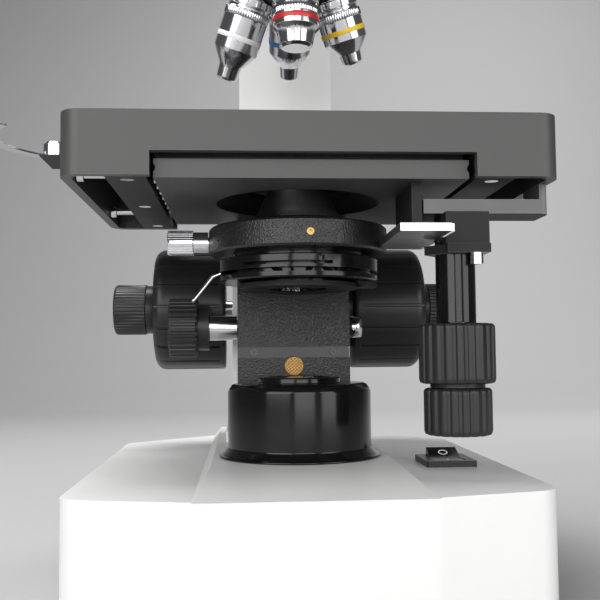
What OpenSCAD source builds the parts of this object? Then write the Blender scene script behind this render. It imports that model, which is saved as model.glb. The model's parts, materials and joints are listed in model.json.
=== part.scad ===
// Compound laboratory microscope: halogen base, coaxial focus, double-layer mechanical stage,
// quadruple nosepiece and binocular head. Millimetres, +Z up, +Y towards the arm, the table at z = 0.
// Every module is drawn about the optical axis and placed by at_axis().

/* [Placement] */
// How far the optical axis stands to the right of the part's origin
axis_x = 24; // [-40:1:60]
// How far the optical axis stands behind the part's origin
axis_y = -22.8; // [-60:1:40]

/* [Base] */
// Width of the base across its shoulders
base_w = 204; // [190:1:250]
// Front corners ahead of the optical axis
base_front = 84; // [80:1:120]
// How far the middle of the front edge stands ahead of the corners
base_nose = 13; // [5:1:20]
// Back corners of the wide part behind the optical axis
base_back = 131; // [120:1:160]
// Back face behind the optical axis
base_tail = 178; // [170:1:200]
// Half width of the back face
tail_half = 46; // [42:1:70]
// Height of the shoulders above the table
base_h = 56; // [50:1:70]
// Height of the raised middle above the shoulders
plateau_h = 6; // [3:1:12]
// Half width of the raised middle at its top
plateau_half = 43; // [42:1:50]
// Casting wall of the base
base_wall = 4; // [3:0.5:6]
// Radius of the base's upright corners
base_corner = 12; // [6:1:20]
// Height of the rubber feet
foot_h = 6; // [3:0.5:10]
// Radius of the rubber feet
foot_r = 11; // [8:0.5:14]
// Thickness of the steel bottom cover
cover_t = 1.5; // [1:0.5:3]

/* [Illuminator] */
// Outer radius of the collector housing
house_r = 35.7; // [34:0.1:40]
// Height of the collector housing
house_h = 36; // [30:1:45]
// Wall of the collector housing
house_wall = 3.5; // [2.5:0.5:5]
// Radius of the housing's foot flange
house_foot_r = 40; // [39:0.5:43]
// Radius of the field lens seat
field_r = 16.2; // [12:0.1:20]

/* [Switch and inlet] */
// Width of the rocker switch bezel
bezel_w = 25; // [20:0.5:30]
// Depth of the rocker switch bezel
bezel_d = 31; // [25:0.5:36]
// Front edge of the bezel ahead of the optical axis
bezel_front = 10.7; // [-10:0.1:30]
// Right edge of the bezel to the right of the optical axis
bezel_right = 87; // [80:0.5:90]
// Bezel plate thickness
bezel_t = 3; // [1.5:0.1:4]
// Radius of the brightness knob
dial_r = 11; // [8:0.5:14]
// Width of the mains inlet opening
inlet_w = 27.4; // [26:0.1:28]
// Height of the mains inlet opening
inlet_h = 20.2; // [19:0.1:21]

/* [Arm] */
// Half width of the arm's column
arm_half = 29.5; // [24:0.5:36]
// Front face of the column behind the optical axis
column_front = 112; // [108:1:125]
// Depth of the column
column_d = 40; // [34:1:50]
// Half width of the focus housing on the arm
focus_half = 34; // [32:0.5:36]
// Front face of the focus housing behind the optical axis
focus_front = 67; // [60:0.5:70]
// Top of the focus housing above the table
focus_top = 174; // [165:1:180]
// Underside of the arm's head above the table
beam_z = 337; // [332:1:350]
// Height of the arm's head
beam_h = 36; // [30:1:44]
// Radius of the arm's round head
beam_r = 37; // [35:0.5:42]

/* [Focus] */
// Height of the focus knobs' axis above the table
focus_z = 140.3; // [130:0.1:145]
// Focus knobs' axis behind the optical axis
focus_y = 102.2; // [102:0.1:103]
// Radius of the coarse knobs
coarse_r = 36.7; // [30:0.1:37]
// Outer face of the coarse knobs from the middle of the microscope
coarse_end = 80.5; // [70:0.5:88]
// Radius of the fine knobs
fine_r = 15.3; // [11:0.1:18]
// Outer face of the fine knobs from the middle of the microscope
fine_end = 105.8; // [95:0.1:115]
// Radius of the tube that joins the coarse knobs
coarse_tube_r = 5.2; // [5:0.1:5.3]
// Radius of the fine shaft
fine_shaft_r = 2.5; // [2:0.1:3]
// Running clearance of shafts in their bores
run = 0.05; // [0.02:0.01:0.08]
// Sliding clearance of guides
gap = 0.3; // [0.25:0.05:0.35]

/* [Stage] */
// Width of the stage's upper plate
stage_w = 216; // [210:1:240]
// Depth of the stage's upper plate
stage_d = 160; // [150:1:162]
// Depth of the plate's skirt, with the plate itself
skirt_h = 28; // [24:1:32]
// Top of the stage above the table, at rest
stage_z = 216; // [214:1:217]
// Front face of the stage ahead of the optical axis
stage_front = 72.4; // [70:0.1:90]
// How far the middle of the plate stands to the right of the optical axis
stage_mid = 2.6; // [0:0.1:5]
// Thickness of the upper plate
top_t = 5; // [4:0.5:6]
// Thickness of the skirt
skirt_t = 4.5; // [3:0.5:5]
// Radius of the plate's upright corners
stage_corner = 9.5; // [5:0.5:14]
// Thickness of the fixed lower plate
lower_t = 8.4; // [7:0.1:9]

/* [Stage drive] */
// Knob shaft to the right of the optical axis
drive_x = 67.8; // [66:0.1:75]
// Knob shaft ahead of the optical axis
drive_y = 50.8; // [48:0.1:54]
// Radius of the sleeve round the knob shafts
sleeve_r = 8.87; // [8:0.01:10]
// Radius of the hollow shaft of the front-to-back knob
y_shaft_r = 6; // [5:0.1:6.2]
// Radius of the inner shaft of the side-to-side knob
x_shaft_r = 3; // [2:0.1:3.5]
// Radius of the upper, front-to-back knob
y_knob_r = 17.1; // [14:0.1:18]
// Radius of the lower, side-to-side knob
x_knob_r = 15.2; // [12:0.1:17]
// Length of the upper knob
y_knob_h = 26.6; // [20:0.1:30]
// Length of the lower knob
x_knob_h = 20.8; // [16:0.1:24]

/* [Substage] */
// Half width of the substage bracket
bracket_half = 31; // [28:0.5:32]
// Front face of the substage bracket behind the optical axis
bracket_front = 41.2; // [41:0.1:44]
// Outer radius of the condenser ring
ring_r = 44.8; // [43:0.1:46]
// Height of the condenser ring
ring_h = 13; // [10:0.5:14]
// Underside of the condenser ring below the stage top, at rest
ring_drop = 54; // [52:0.5:56]
// Radius of the condenser sleeve in the ring
condenser_r = 33; // [30:0.5:36]
// Radius of the iris rings
iris_r = 40; // [36:0.5:40]
// Radius of the condenser focus knob
cknob_r = 16.4; // [14:0.1:18]
// Radius of the condenser knob's shaft
cshaft_r = 7; // [6:0.1:7.2]

/* [Nosepiece and head] */
// Angle between each objective and the nosepiece's own axis
nose_tilt = 19; // [18:0.5:20]
// Objectives' shoulder above the table, in the working position
shoulder_z = 296; // [295:0.5:300]
// Radius of the circle that the objectives' shoulders stand on
shoulder_r = 22.1; // [21:0.1:24]
// Radius of the objective threads
thread_r = 10.16; // [10:0.01:10.5]
// Radius of the dovetail that carries the binocular head
dovetail_r = 21; // [19:0.5:23]
// Distance of each eyepiece from the head's hinge axis
eye_arm = 37.5; // [37:0.5:40]
// Distance between the two eyepieces, at rest
eye_gap = 64; // [56:1:74]
// Radius of the eyepiece barrels
eyepiece_r = 11.6; // [11:0.1:12]

/* [Hidden] */
$fn = 64;
e = 0.01;
plate_bottom = stage_z - skirt_h;
plateau_z = base_h + plateau_h;
stage_x0 = stage_mid - stage_w / 2;
stage_x1 = stage_mid + stage_w / 2;
stage_back = stage_d - stage_front;
column_back = column_front + column_d;

// fixed lower plate of the stage, inside the skirt
lower_x0 = -66;
lower_x1 = 71;
lower_half_d = 66;
lower_top = plate_bottom + lower_t;
lower_hole_r = 25;
dish_r = 41;
// rails under the upper plate, one each side of the lower plate
rail_w = 17.4;
rail_gap = 2.9;
rail_t = 10.3;
ball_r = 2.2;
ball_z = plate_bottom + 4.5;
slide_y0 = -28;
slide_y1 = 22;

// focus slide, in a T-shaped guide in the focus housing
slide_wide = 22;
slide_narrow = 16;
guide_step = 82;
guide_back = 92;
slide_low = 96;
slide_high = 150;
coarse_m = 0.8;
coarse_n = 16;
coarse_pitch_r = coarse_m * coarse_n / 2;
focus_rack_half = 5;
focus_rack_y = 88;
bush_r = 8;

// substage bracket
bracket_low = 92;
bracket_top = 146.8;
bracket_back = focus_front - gap;
neck_front = 54;
notch_d = 4;
notch_low = 110.4;
notch_high = 116.4;
cspindle_r = 4.5;
cknob_y = bracket_front + cspindle_r + 2.8;
cknob_z = 127.2;
crack_m = 0.6;
crack_n = 14;
cpitch_r = crack_m * crack_n / 2;
cpitch_y = cknob_y + cpitch_r;
tongue_half = 12;
tongue_front = cpitch_y + 0.9;
tongue_back = tongue_front + 5.8;
tongue_low = 116;
fine_rail_half = 10;
fine_rail_front = tongue_back + 2;
fine_rail_low = 98;
fine_rail_high = 115;
fine_play = 1.6;

// condenser
ring_z = stage_z - ring_drop;
ring_top = ring_z + ring_h;
iris_top = ring_z - 2.9;
iris_low = ring_z - 9.4;
iris_gap = 1.8;
lens_r = 9.5;
cone_r = 15;
condenser_top = stage_z - 12.5;
filter_low = ring_z - 17.1;
filter_high = ring_z - 14.8;
filter_ring_r = 30;
filter_x = 33.5;
filter_y = -8;

// stage drive, under the front right corner
bar_low = plate_bottom - 13.5;
bar_high = plate_bottom - 7.1;
bar_left = 52.7;
bar_front = 56;
bar_back = 34;
block_low = bar_low - 14.3;
flange_t = 4;
block_right = drive_x + sleeve_r + 4;
rack_z = plate_bottom - 23.4;
rack_t = 3.5;
y_m = 0.8;
y_n = 20;
y_pitch_r = y_m * y_n / 2;
rack_left = 37.2;
rack_front = -82;
rack_back = -18;
y_knob_low = block_low - 61.6;
x_knob_low = y_knob_low - 2 - x_knob_h;

// slide holder, at the left end of its travel
holder_left = -125;
holder_right = 16;
holder_t = 1;
holder_lift = 0.1;
bar_y0 = 48;
bar_y1 = 62;

// nosepiece, in coordinates along its own tilted axis from the apex of the objectives' axes
nose_len = shoulder_r / sin(nose_tilt);
apex_z = shoulder_z + nose_len;
shoulder_s = nose_len * cos(nose_tilt);
turret_r = 36;
turret_top = shoulder_s - 18;
mount_r = 30;
mount_gap = 0.4;

// head
head_z = beam_z + beam_h;
head_front_y = -34;
head_front_z = head_z + 42;
leaf_t = 14;
leaf_r = 18;
tower_r = 17.6;
leaf_gap = 0.3;
swing = acos(eye_gap / 2 / eye_arm);
seat_d = 9;
clamp_r = 2.5;
clamp_z = head_z - seat_d / 2;
tube_r = 15;
tube_len = 34;

BLACK = [0.08, 0.08, 0.085];
GLOSS = [0.02, 0.02, 0.022];
WHITE = [0.93, 0.93, 0.92];
STEEL = [0.72, 0.72, 0.74];
BRASS = [0.78, 0.6, 0.3];
RUBBER = [0.12, 0.12, 0.12];
GLASS = [0.75, 0.85, 0.9, 0.6];

module at_axis() {
    translate([axis_x, axis_y, 0]) children();
}

module slab(x0, x1, y0, y1, z0, z1) {
    translate([x0, y0, z0]) cube([x1 - x0, y1 - y0, z1 - z0]);
}

module rod_x(r, x0, x1, y, z) {
    translate([x0, y, z]) rotate([0, 90, 0]) cylinder(r = r, h = x1 - x0);
}

module rod_y(r, y0, y1, x, z) {
    translate([x, y0, z]) rotate([-90, 0, 0]) cylinder(r = r, h = y1 - y0);
}

module rod_z(r, z0, z1, x = 0, y = 0) {
    translate([x, y, z0]) cylinder(r = r, h = z1 - z0);
}

module ring(r_out, r_in, z0, z1) {
    difference() {
        rod_z(r_out, z0, z1);
        rod_z(r_in, z0 - 1, z1 + 1);
    }
}

// outline with each corner rounded to the radius in round_r, six chords to a corner
function unit(v) = v / norm(v);
function corner(p, q, s, r, n = 6) =
    let (u = unit(p - q), v = unit(s - q), half = acos(u * v) / 2, back = r / tan(half))
    let (centre = q + unit(u + v) * (r / sin(half)), a = q + u * back - centre, b = q + v * back - centre)
    let (a0 = atan2(a[1], a[0]), turn = atan2(a[0] * b[1] - a[1] * b[0], a * b))
    [for (i = [0 : n]) centre + r * [cos(a0 + turn * i / n), sin(a0 + turn * i / n)]];
function rounded(points, r) =
    let (n = len(points))
    [for (i = [0 : n - 1]) each corner(points[(i + n - 1) % n], points[i], points[(i + 1) % n], r)];
function rect(x0, x1, y0, y1) = [[x0, y0], [x1, y0], [x1, y1], [x0, y1]];

// spur gear of involute teeth, drawn about the origin with one tooth on +X
function involute(rb, t) = [rb * (cos(t) + t * PI / 180 * sin(t)), rb * (sin(t) - t * PI / 180 * cos(t))];
function turned(p, a) = [p[0] * cos(a) - p[1] * sin(a), p[0] * sin(a) + p[1] * cos(a)];
function roll(rb, r) = r <= rb ? 0 : sqrt(r * r / (rb * rb) - 1) * 180 / PI;
function tooth(m, n, slack) =
    let (r = m * n / 2, rb = r * cos(20), tip = r + 0.9 * m, root = r - 1.2 * m)
    let (pitch_a = atan2(involute(rb, roll(rb, r))[1], involute(rb, roll(rb, r))[0]))
    let (half = 90 / n - slack / r * 90 / PI)
    let (flank = [for (i = [0 : 4]) involute(rb, roll(rb, max(rb, root)) + (roll(rb, tip) - roll(rb, max(rb, root))) * i / 4)])
    let (low = [for (p = flank) turned(p, -half - pitch_a)])
    concat([root * [cos(-half - pitch_a), sin(-half - pitch_a)]], low,
        [for (i = [4 : -1 : 0]) [low[i][0], -low[i][1]]], [root * [cos(half + pitch_a), sin(half + pitch_a)]]);
module gear_2d(m, n, slack = 0.2) {
    polygon([for (k = [0 : n - 1]) each [for (p = tooth(m, n, slack)) turned(p, k * 360 / n)]]);
}

// rack whose teeth point along +X from the pitch line at x = 0, with a gap centred on y = 0
module rack_2d(m, y0, y1, depth, slack = 0.2) {
    half = PI * m / 4 - slack / 2;
    lean = tan(20) * m;
    difference() {
        union() {
            translate([-depth, y0]) square([depth - 1.2 * m, y1 - y0]);
            for (k = [ceil(y0 / (PI * m)) : floor(y1 / (PI * m)) - 1])
                translate([0, (k + 0.5) * PI * m])
                    polygon([[-1.3 * m, -half - 1.3 * lean], [0.9 * m, -half + 0.9 * lean],
                        [0.9 * m, half - 0.9 * lean], [-1.3 * m, half + 1.3 * lean]]);
        }
        translate([-depth - 1, y0 - 20]) square([depth + 9, 20]);
        translate([-depth - 1, y1]) square([depth + 9, 20]);
    }
}

// knob about +Z with wide flutes cut along it
module fluted(r, h, flutes, deep, wide, edge = 1) {
    difference() {
        rotate_extrude() polygon([[0, 0], [r - edge, 0], [r, edge], [r, h - edge], [r - edge, h], [0, h]]);
        for (i = [0 : flutes - 1])
            rotate([0, 0, i * 360 / flutes])
                translate([r - deep, -wide / 2, -1]) cube([deep + 1, wide, h + 2]);
    }
}

// ---- base ----

function base_outline(inset) =
    let (w = base_w / 2 - inset, nose = plateau_half + 5 - inset / 2)
    [[-nose, -base_front - base_nose + inset], [nose, -base_front - base_nose + inset],
     [w, -base_front + inset], [w, base_back - inset / 2],
     [tail_half - inset / 2, base_tail - inset], [-tail_half + inset / 2, base_tail - inset],
     [-w, base_back - inset / 2], [-w, -base_front + inset]];

foot_places = [[-82, -68], [82, -68], [-82, 110], [82, 110]];
cover_screw_places = [[-60, -80], [60, -80], [-90, 75], [90, 75], [-40, 160], [40, 160]];
arm_bolt_places = [[-20, 124], [20, 124], [-20, 140], [20, 140]];
bezel_x = bezel_right - bezel_w / 2;
bezel_y = bezel_d / 2 - bezel_front;
bolt_seat = foot_h + cover_t + 6;
inlet_z = 30;
dial_y = 45;
dial_z = 32;

module base_shell() {
    slope = base_front + base_nose;
    color(WHITE) at_axis() difference() {
        union() {
            translate([0, 0, foot_h]) linear_extrude(base_h - foot_h)
                polygon(rounded(base_outline(0), base_corner));
            intersection() {
                translate([-plateau_half - 5, 0, 0]) rotate([90, 0, 90]) linear_extrude(2 * plateau_half + 10)
                    polygon([[-slope + 0.5, base_h - 2], [-slope + 0.5, base_h], [-plateau_half, plateau_z],
                        [base_tail - 4, plateau_z], [base_tail - 4, base_h - 2]]);
                translate([0, base_tail, 0]) rotate([90, 0, 0]) linear_extrude(2 * base_tail + base_front)
                    polygon([[-plateau_half - 5, base_h - 2], [-plateau_half - 5, base_h],
                        [-plateau_half, plateau_z], [plateau_half, plateau_z],
                        [plateau_half + 5, base_h], [plateau_half + 5, base_h - 2]]);
            }
        }
        translate([0, 0, foot_h - 1]) linear_extrude(base_h - foot_h - base_wall + 1) difference() {
            polygon(rounded(base_outline(base_wall), base_corner - base_wall));
            for (p = cover_screw_places) translate(p) circle(r = 5);
            for (p = arm_bolt_places) translate(p) circle(r = 6);
        }
        for (p = cover_screw_places) rod_z(1.6, foot_h - 1, foot_h + 14, p[0], p[1]);
        for (p = arm_bolt_places) {
            rod_z(3.1, foot_h - 1, plateau_z + 1, p[0], p[1]);
            rod_z(4.8, foot_h - 1, bolt_seat, p[0], p[1]);
        }
        translate([0, 0, foot_h - 1]) linear_extrude(cover_t + 1)
            polygon(rounded(base_outline(base_wall), base_corner - base_wall));
        rod_z(20, base_h - 10, plateau_z + 1);
        slab(bezel_x - bezel_w / 2 + 1.5, bezel_x + bezel_w / 2 - 1.5,
            bezel_y - bezel_d / 2 + 1.5, bezel_y + bezel_d / 2 - 1.5, base_h - 10, base_h + 1);
        slab(-inlet_w / 2, inlet_w / 2, base_tail - 10, base_tail + 1, inlet_z - inlet_h / 2, inlet_z + inlet_h / 2);
        rod_x(3.6, -base_w / 2 - 1, -base_w / 2 + 10, dial_y, dial_z);
    }
}

module bottom_cover() {
    color(STEEL) at_axis() difference() {
        translate([0, 0, foot_h]) linear_extrude(cover_t)
            polygon(rounded(base_outline(base_wall + gap), base_corner - base_wall));
        for (p = cover_screw_places) rod_z(1.7, foot_h - 1, foot_h + 4, p[0], p[1]);
        for (x = [-3 : 3]) slab(x * 8 - 1.5, x * 8 + 1.5, -25, 25, foot_h - 1, foot_h + 4);
    }
}

module rubber_feet() {
    color(RUBBER) at_axis() for (p = foot_places) translate([p[0], p[1], 0])
        rotate_extrude() polygon([[0, 0.6], [foot_r - 4, 0], [foot_r - 1, 0], [foot_r, 1], [foot_r - 1.5, foot_h],
            [0, foot_h]]);
}

module cover_screws() {
    color(STEEL) at_axis() for (p = cover_screw_places) {
        rod_z(3.2, foot_h - 2, foot_h, p[0], p[1]);
        rod_z(1.5, foot_h - 1, foot_h + 10, p[0], p[1]);
    }
}

// ---- arm ----

module arm() {
    bend = 26;
    back_bend = 34;
    top = head_z;
    color(WHITE) at_axis() difference() {
        union() {
            // column and head beam, as one side outline
            translate([-arm_half, 0, 0]) rotate([90, 0, 90]) linear_extrude(2 * arm_half) polygon(concat(
                [[column_front, plateau_z], [column_front, beam_z - bend]],
                [for (a = [0 : 15 : 90]) [column_front - bend + bend * cos(a), beam_z - bend + bend * sin(a)]],
                [[0, beam_z], [0, top], [column_back - back_bend, top]],
                [for (a = [90 : -15 : 0]) [column_back - back_bend + back_bend * cos(a), top - back_bend + back_bend * sin(a)]],
                [[column_back, plateau_z]]));
            rod_z(beam_r, beam_z, top);
            slab(-focus_half, focus_half, focus_front, column_front + 6, plateau_z, focus_top);
            // flare that carries the column on the base
            slab(-focus_half - 4, focus_half + 4, focus_front + 4, column_back + 4, plateau_z, plateau_z + 6);
        }
        // guide for the focus slide and the space behind it for the rack and pinion
        slab(-slide_narrow - gap, slide_narrow + gap, focus_front - 1, guide_step, plateau_z + 16, focus_top + 1);
        slab(-slide_wide - gap, slide_wide + gap, guide_step - gap, guide_back, plateau_z + 16, focus_top + 1);
        slab(-9, 9, guide_back - 1, focus_y + 8, plateau_z + 16, focus_top - 5);
        slab(-6, 6, guide_back - 1, focus_y - coarse_pitch_r + 2, focus_top - 6, focus_top + 1);
        rod_x(bush_r, -focus_half - 1, focus_half + 1, focus_y, focus_z);
        // light path, head seat and bolt holes
        rod_z(10.5, beam_z - 1, top + 1);
        rod_z(dovetail_r + run, top - seat_d, top + 1);
        rod_x(clamp_r + run, dovetail_r - 1, beam_r + 1, 0, clamp_z);
        for (p = arm_bolt_places) rod_z(2.5, plateau_z - 1, plateau_z + 22, p[0], p[1]);
    }
}

module arm_bolts() {
    color(STEEL) at_axis() for (p = arm_bolt_places) {
        rod_z(2.45, bolt_seat - 1, plateau_z + 20, p[0], p[1]);
        rod_z(4.5, bolt_seat - 4.5, bolt_seat, p[0], p[1]);
    }
}

// ---- illuminator ----

module collector_housing() {
    z = plateau_z;
    top = z + house_h;
    color(GLOSS) at_axis() rotate_extrude() polygon(concat(
        [[house_r - house_wall, z], [house_foot_r, z], [house_foot_r, z + 1.2]],
        [for (a = [-80 : 16 : 0]) [house_foot_r - 1 + (house_foot_r - house_r - 1) * (sin(-a) - 1), z + 1.2 + 4 * (1 - cos(a + 80))]],
        [[house_r, z + 6], [house_r, top - 4], [house_r - 0.7, top - 2.6], [house_r - 2, top - 0.7],
         [house_r - 3.6, top], [field_r + 4.2, top], [field_r + 4.2, top + 2.4], [field_r + 3.4, top + 3],
         [field_r, top + 3], [field_r, top - 3], [field_r - 1.8, top - 3], [field_r - 1.8, top - 6],
         [house_r - house_wall - 3, top - 6], [house_r - house_wall, top - 10]]));
}

module field_lens() {
    top = plateau_z + house_h;
    sag = 2.6;
    r = field_r - 0.1;
    big = (r * r + sag * sag) / (2 * sag);
    color(GLASS) at_axis() rotate_extrude() polygon(concat(
        [[0, top - 3], [r, top - 3], [r, top + 0.5]],
        [for (i = [1 : 8]) let (x = r * (1 - i / 8)) [x, top + 0.5 + sag - big + sqrt(big * big - x * x)]]));
}

module lamp_socket() {
    color([0.85, 0.83, 0.78]) at_axis() {
        rod_z(9, foot_h + cover_t + 14, base_h - 2);
        slab(-16, 16, -6, 6, foot_h + cover_t + 10, foot_h + cover_t + 14);
    }
}

module lamp() {
    color(GLASS) at_axis() rotate_extrude() polygon([[0, base_h - 2], [4.5, base_h - 2], [4.5, base_h + 2],
        [5.5, base_h + 5], [5.5, base_h + 12], [3.5, base_h + 15], [1, base_h + 16.5], [0, base_h + 16.5]]);
}

module power_board() {
    z = foot_h + cover_t + 6;
    color([0.1, 0.35, 0.2]) at_axis() {
        slab(-72, -28, 60, 135, z, z + 1.6);
        slab(-66, -36, 84, 122, z + 1.6, z + 27);
        rod_z(6, z + 1.6, z + 22, -40, 70);
        rod_z(6, z + 1.6, z + 22, -54, 70);
        for (p = [[-69, 63], [-31, 63], [-69, 132], [-31, 132]]) rod_z(2.5, foot_h + cover_t, z, p[0], p[1]);
    }
}

module mains_inlet() {
    color(BLACK) at_axis() difference() {
        union() {
            slab(-inlet_w / 2 + 0.1, inlet_w / 2 - 0.1, base_tail - 22, base_tail + e,
                inlet_z - inlet_h / 2 + 0.1, inlet_z + inlet_h / 2 - 0.1);
            slab(-inlet_w / 2 - 1.9, inlet_w / 2 + 1.9, base_tail, base_tail + 2.2,
                inlet_z - inlet_h / 2 - 1.9, inlet_z + inlet_h / 2 + 1.9);
        }
        difference() {
            slab(-12, 12, base_tail - 16, base_tail + 3, inlet_z - 8.2, inlet_z + 8.2);
            for (x = [-7, 0, 7]) slab(x - 1, x + 1, base_tail - 17, base_tail - 2, inlet_z - 2, inlet_z + 2);
        }
    }
}

// ---- switch and brightness knob ----

rocker_w = 15.4;
rocker_d = 23;
rocker_tilt = 12;
rocker_z = base_h + bezel_t - 2.3;

module switch_bezel() {
    color(BLACK) at_axis() difference() {
        union() {
            translate([bezel_x, bezel_y, base_h]) linear_extrude(bezel_t)
                polygon(rounded(rect(-bezel_w / 2, bezel_w / 2, -bezel_d / 2, bezel_d / 2), 1.2));
            slab(bezel_x - bezel_w / 2 + 1.6, bezel_x + bezel_w / 2 - 1.6,
                bezel_y - bezel_d / 2 + 1.6, bezel_y + bezel_d / 2 - 1.6, base_h - 18, base_h + e);
        }
        slab(bezel_x - rocker_w / 2 - gap, bezel_x + rocker_w / 2 + gap,
            bezel_y - rocker_d / 2 - gap, bezel_y + rocker_d / 2 + gap, base_h - 12, base_h + bezel_t + 1);
        rod_x(1.5, bezel_x - rocker_w / 2 - 2, bezel_x + rocker_w / 2 + 2, bezel_y, rocker_z);
    }
}

module switch_rocker() {
    half = rocker_d / 2 - 0.6;
    color(GLOSS) at_axis() translate([bezel_x, bezel_y, rocker_z]) rotate([rocker_tilt, 0, 0]) {
        translate([-rocker_w / 2, 0, 0]) rotate([90, 0, 90]) linear_extrude(rocker_w)
            polygon([[-half, -3], [-half, 4.3], [0, 2.2], [half, 4.3], [half, -3], [3.5, -6.5], [-3.5, -6.5]]);
        rod_x(1.45, -rocker_w / 2 - 1.8, rocker_w / 2 + 1.8, 0, 0);
    }
}

module dimmer_pot() {
    color(STEEL) at_axis() {
        rod_x(8.5, -base_w / 2 + base_wall + 3.2, -base_w / 2 + base_wall + 14, dial_y, dial_z);
        rod_x(3.5, -base_w / 2 + 0.6, -base_w / 2 + base_wall + 3.2 + e, dial_y, dial_z);
        rod_x(6, -base_w / 2 + base_wall, -base_w / 2 + base_wall + 3.2, dial_y, dial_z);
    }
}

module brightness_knob() {
    color(BLACK) at_axis() translate([-base_w / 2 - 0.4, dial_y, dial_z]) rotate([0, -90, 0]) {
        difference() {
            fluted(dial_r, 11, 24, 0.7, 1.1);
            translate([-1, 3, 10.2]) cube([2, dial_r, 2]);
        }
    }
}

// ---- focus drive in the arm ----

module focus_bushes() {
    color(BRASS) at_axis() for (s = [-1, 1]) difference() {
        rod_x(bush_r, min(s * 10, s * focus_half), max(s * 10, s * focus_half), focus_y, focus_z);
        rod_x(coarse_tube_r + run, -focus_half - 1, focus_half + 1, focus_y, focus_z);
    }
}

module coarse_tube() {
    color(STEEL) at_axis() difference() {
        union() {
            rod_x(coarse_tube_r, -coarse_end + 4, coarse_end - 4, focus_y, focus_z);
            translate([-8, focus_y, focus_z]) rotate([0, 90, 0])
                linear_extrude(16) rotate(90) gear_2d(coarse_m, coarse_n);
        }
        rod_x(fine_shaft_r + run, -coarse_end, coarse_end, focus_y, focus_z);
    }
}

module coarse_knob() {
    start = focus_half + 4.4;
    long = coarse_end - start;
    difference() {
        translate([start, 0, 0]) rotate([0, 90, 0]) difference() {
            rotate_extrude() polygon(concat([[0, 0], [coarse_r - 1.5, 0], [coarse_r, 1.5], [coarse_r, long - 6]],
                [for (a = [15 : 15 : 75]) [coarse_r - 6 + 6 * cos(a), long - 6 + 6 * sin(a)]],
                [[coarse_r - 6, long], [fine_r + 6, long], [fine_r + 4, long - 1.5], [0, long - 1.5]]));
            for (i = [0 : 17]) rotate([0, 0, i * 20 + 4])
                translate([coarse_r - 1.2, -0.7, 3]) cube([3, 1.4, long]);
        }
        rod_x(coarse_tube_r, 0, coarse_end + 1, 0, 0);
    }
}

module coarse_knob_left() {
    color(BLACK) at_axis() translate([0, focus_y, focus_z]) mirror([1, 0, 0]) coarse_knob();
}

module coarse_knob_right() {
    color(BLACK) at_axis() translate([0, focus_y, focus_z]) coarse_knob();
}

module tension_collar() {
    color(BLACK) at_axis() translate([focus_half + gap, focus_y, focus_z]) rotate([0, 90, 0]) difference() {
        fluted(24, 3.8, 30, 0.8, 1.4, 0.4);
        translate([0, 0, -1]) cylinder(r = coarse_tube_r + 0.4, h = 6);
    }
}

module fine_shaft() {
    color(STEEL) at_axis() rod_x(fine_shaft_r, -fine_end + 2, fine_end - 2, focus_y, focus_z);
}

module fine_knob() {
    start = coarse_end - 1.2;
    long = fine_end - start;
    difference() {
        translate([start, 0, 0]) rotate([0, 90, 0]) difference() {
            rotate_extrude() polygon([[0, 0], [fine_r - 0.6, 0], [fine_r - 0.6, 7], [fine_r, 7.6], [fine_r, long - 2],
                [fine_r - 2, long], [fine_r - 6, long], [fine_r - 7, long - 1], [0, long - 1]]);
            for (i = [0 : 44]) rotate([0, 0, i * 8]) translate([fine_r - 0.5, -0.4, 8]) cube([2, 0.8, long]);
        }
        rod_x(fine_shaft_r, 0, fine_end - 2, 0, 0);
    }
}

module fine_knob_left() {
    color(BLACK) at_axis() translate([0, focus_y, focus_z]) mirror([1, 0, 0]) fine_knob();
}

module fine_knob_right() {
    color(BLACK) at_axis() translate([0, focus_y, focus_z]) fine_knob();
}

module focus_slide() {
    front = focus_front;
    color([0.45, 0.45, 0.47]) at_axis() difference() {
        union() {
            slab(-slide_narrow, slide_narrow, front, guide_step, slide_low, slide_high);
            slab(-slide_wide, slide_wide, guide_step, guide_back - gap, slide_low, slide_high);
            slab(-fine_rail_half, fine_rail_half, fine_rail_front, front + e, fine_rail_low, fine_rail_high);
        }
        slab(-focus_rack_half, focus_rack_half, focus_rack_y, guide_back, slide_low - 1, slide_high + 1);
    }
}

module focus_rack() {
    pitch_y = focus_y - coarse_pitch_r;
    color(STEEL) at_axis() translate([-focus_rack_half, pitch_y, focus_z]) rotate([90, 0, 90])
        linear_extrude(2 * focus_rack_half)
            rack_2d(coarse_m, slide_low - focus_z, slide_high - focus_z, pitch_y - focus_rack_y);
}

// ---- stage bracket and lower plate, which rise and fall together ----

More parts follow.
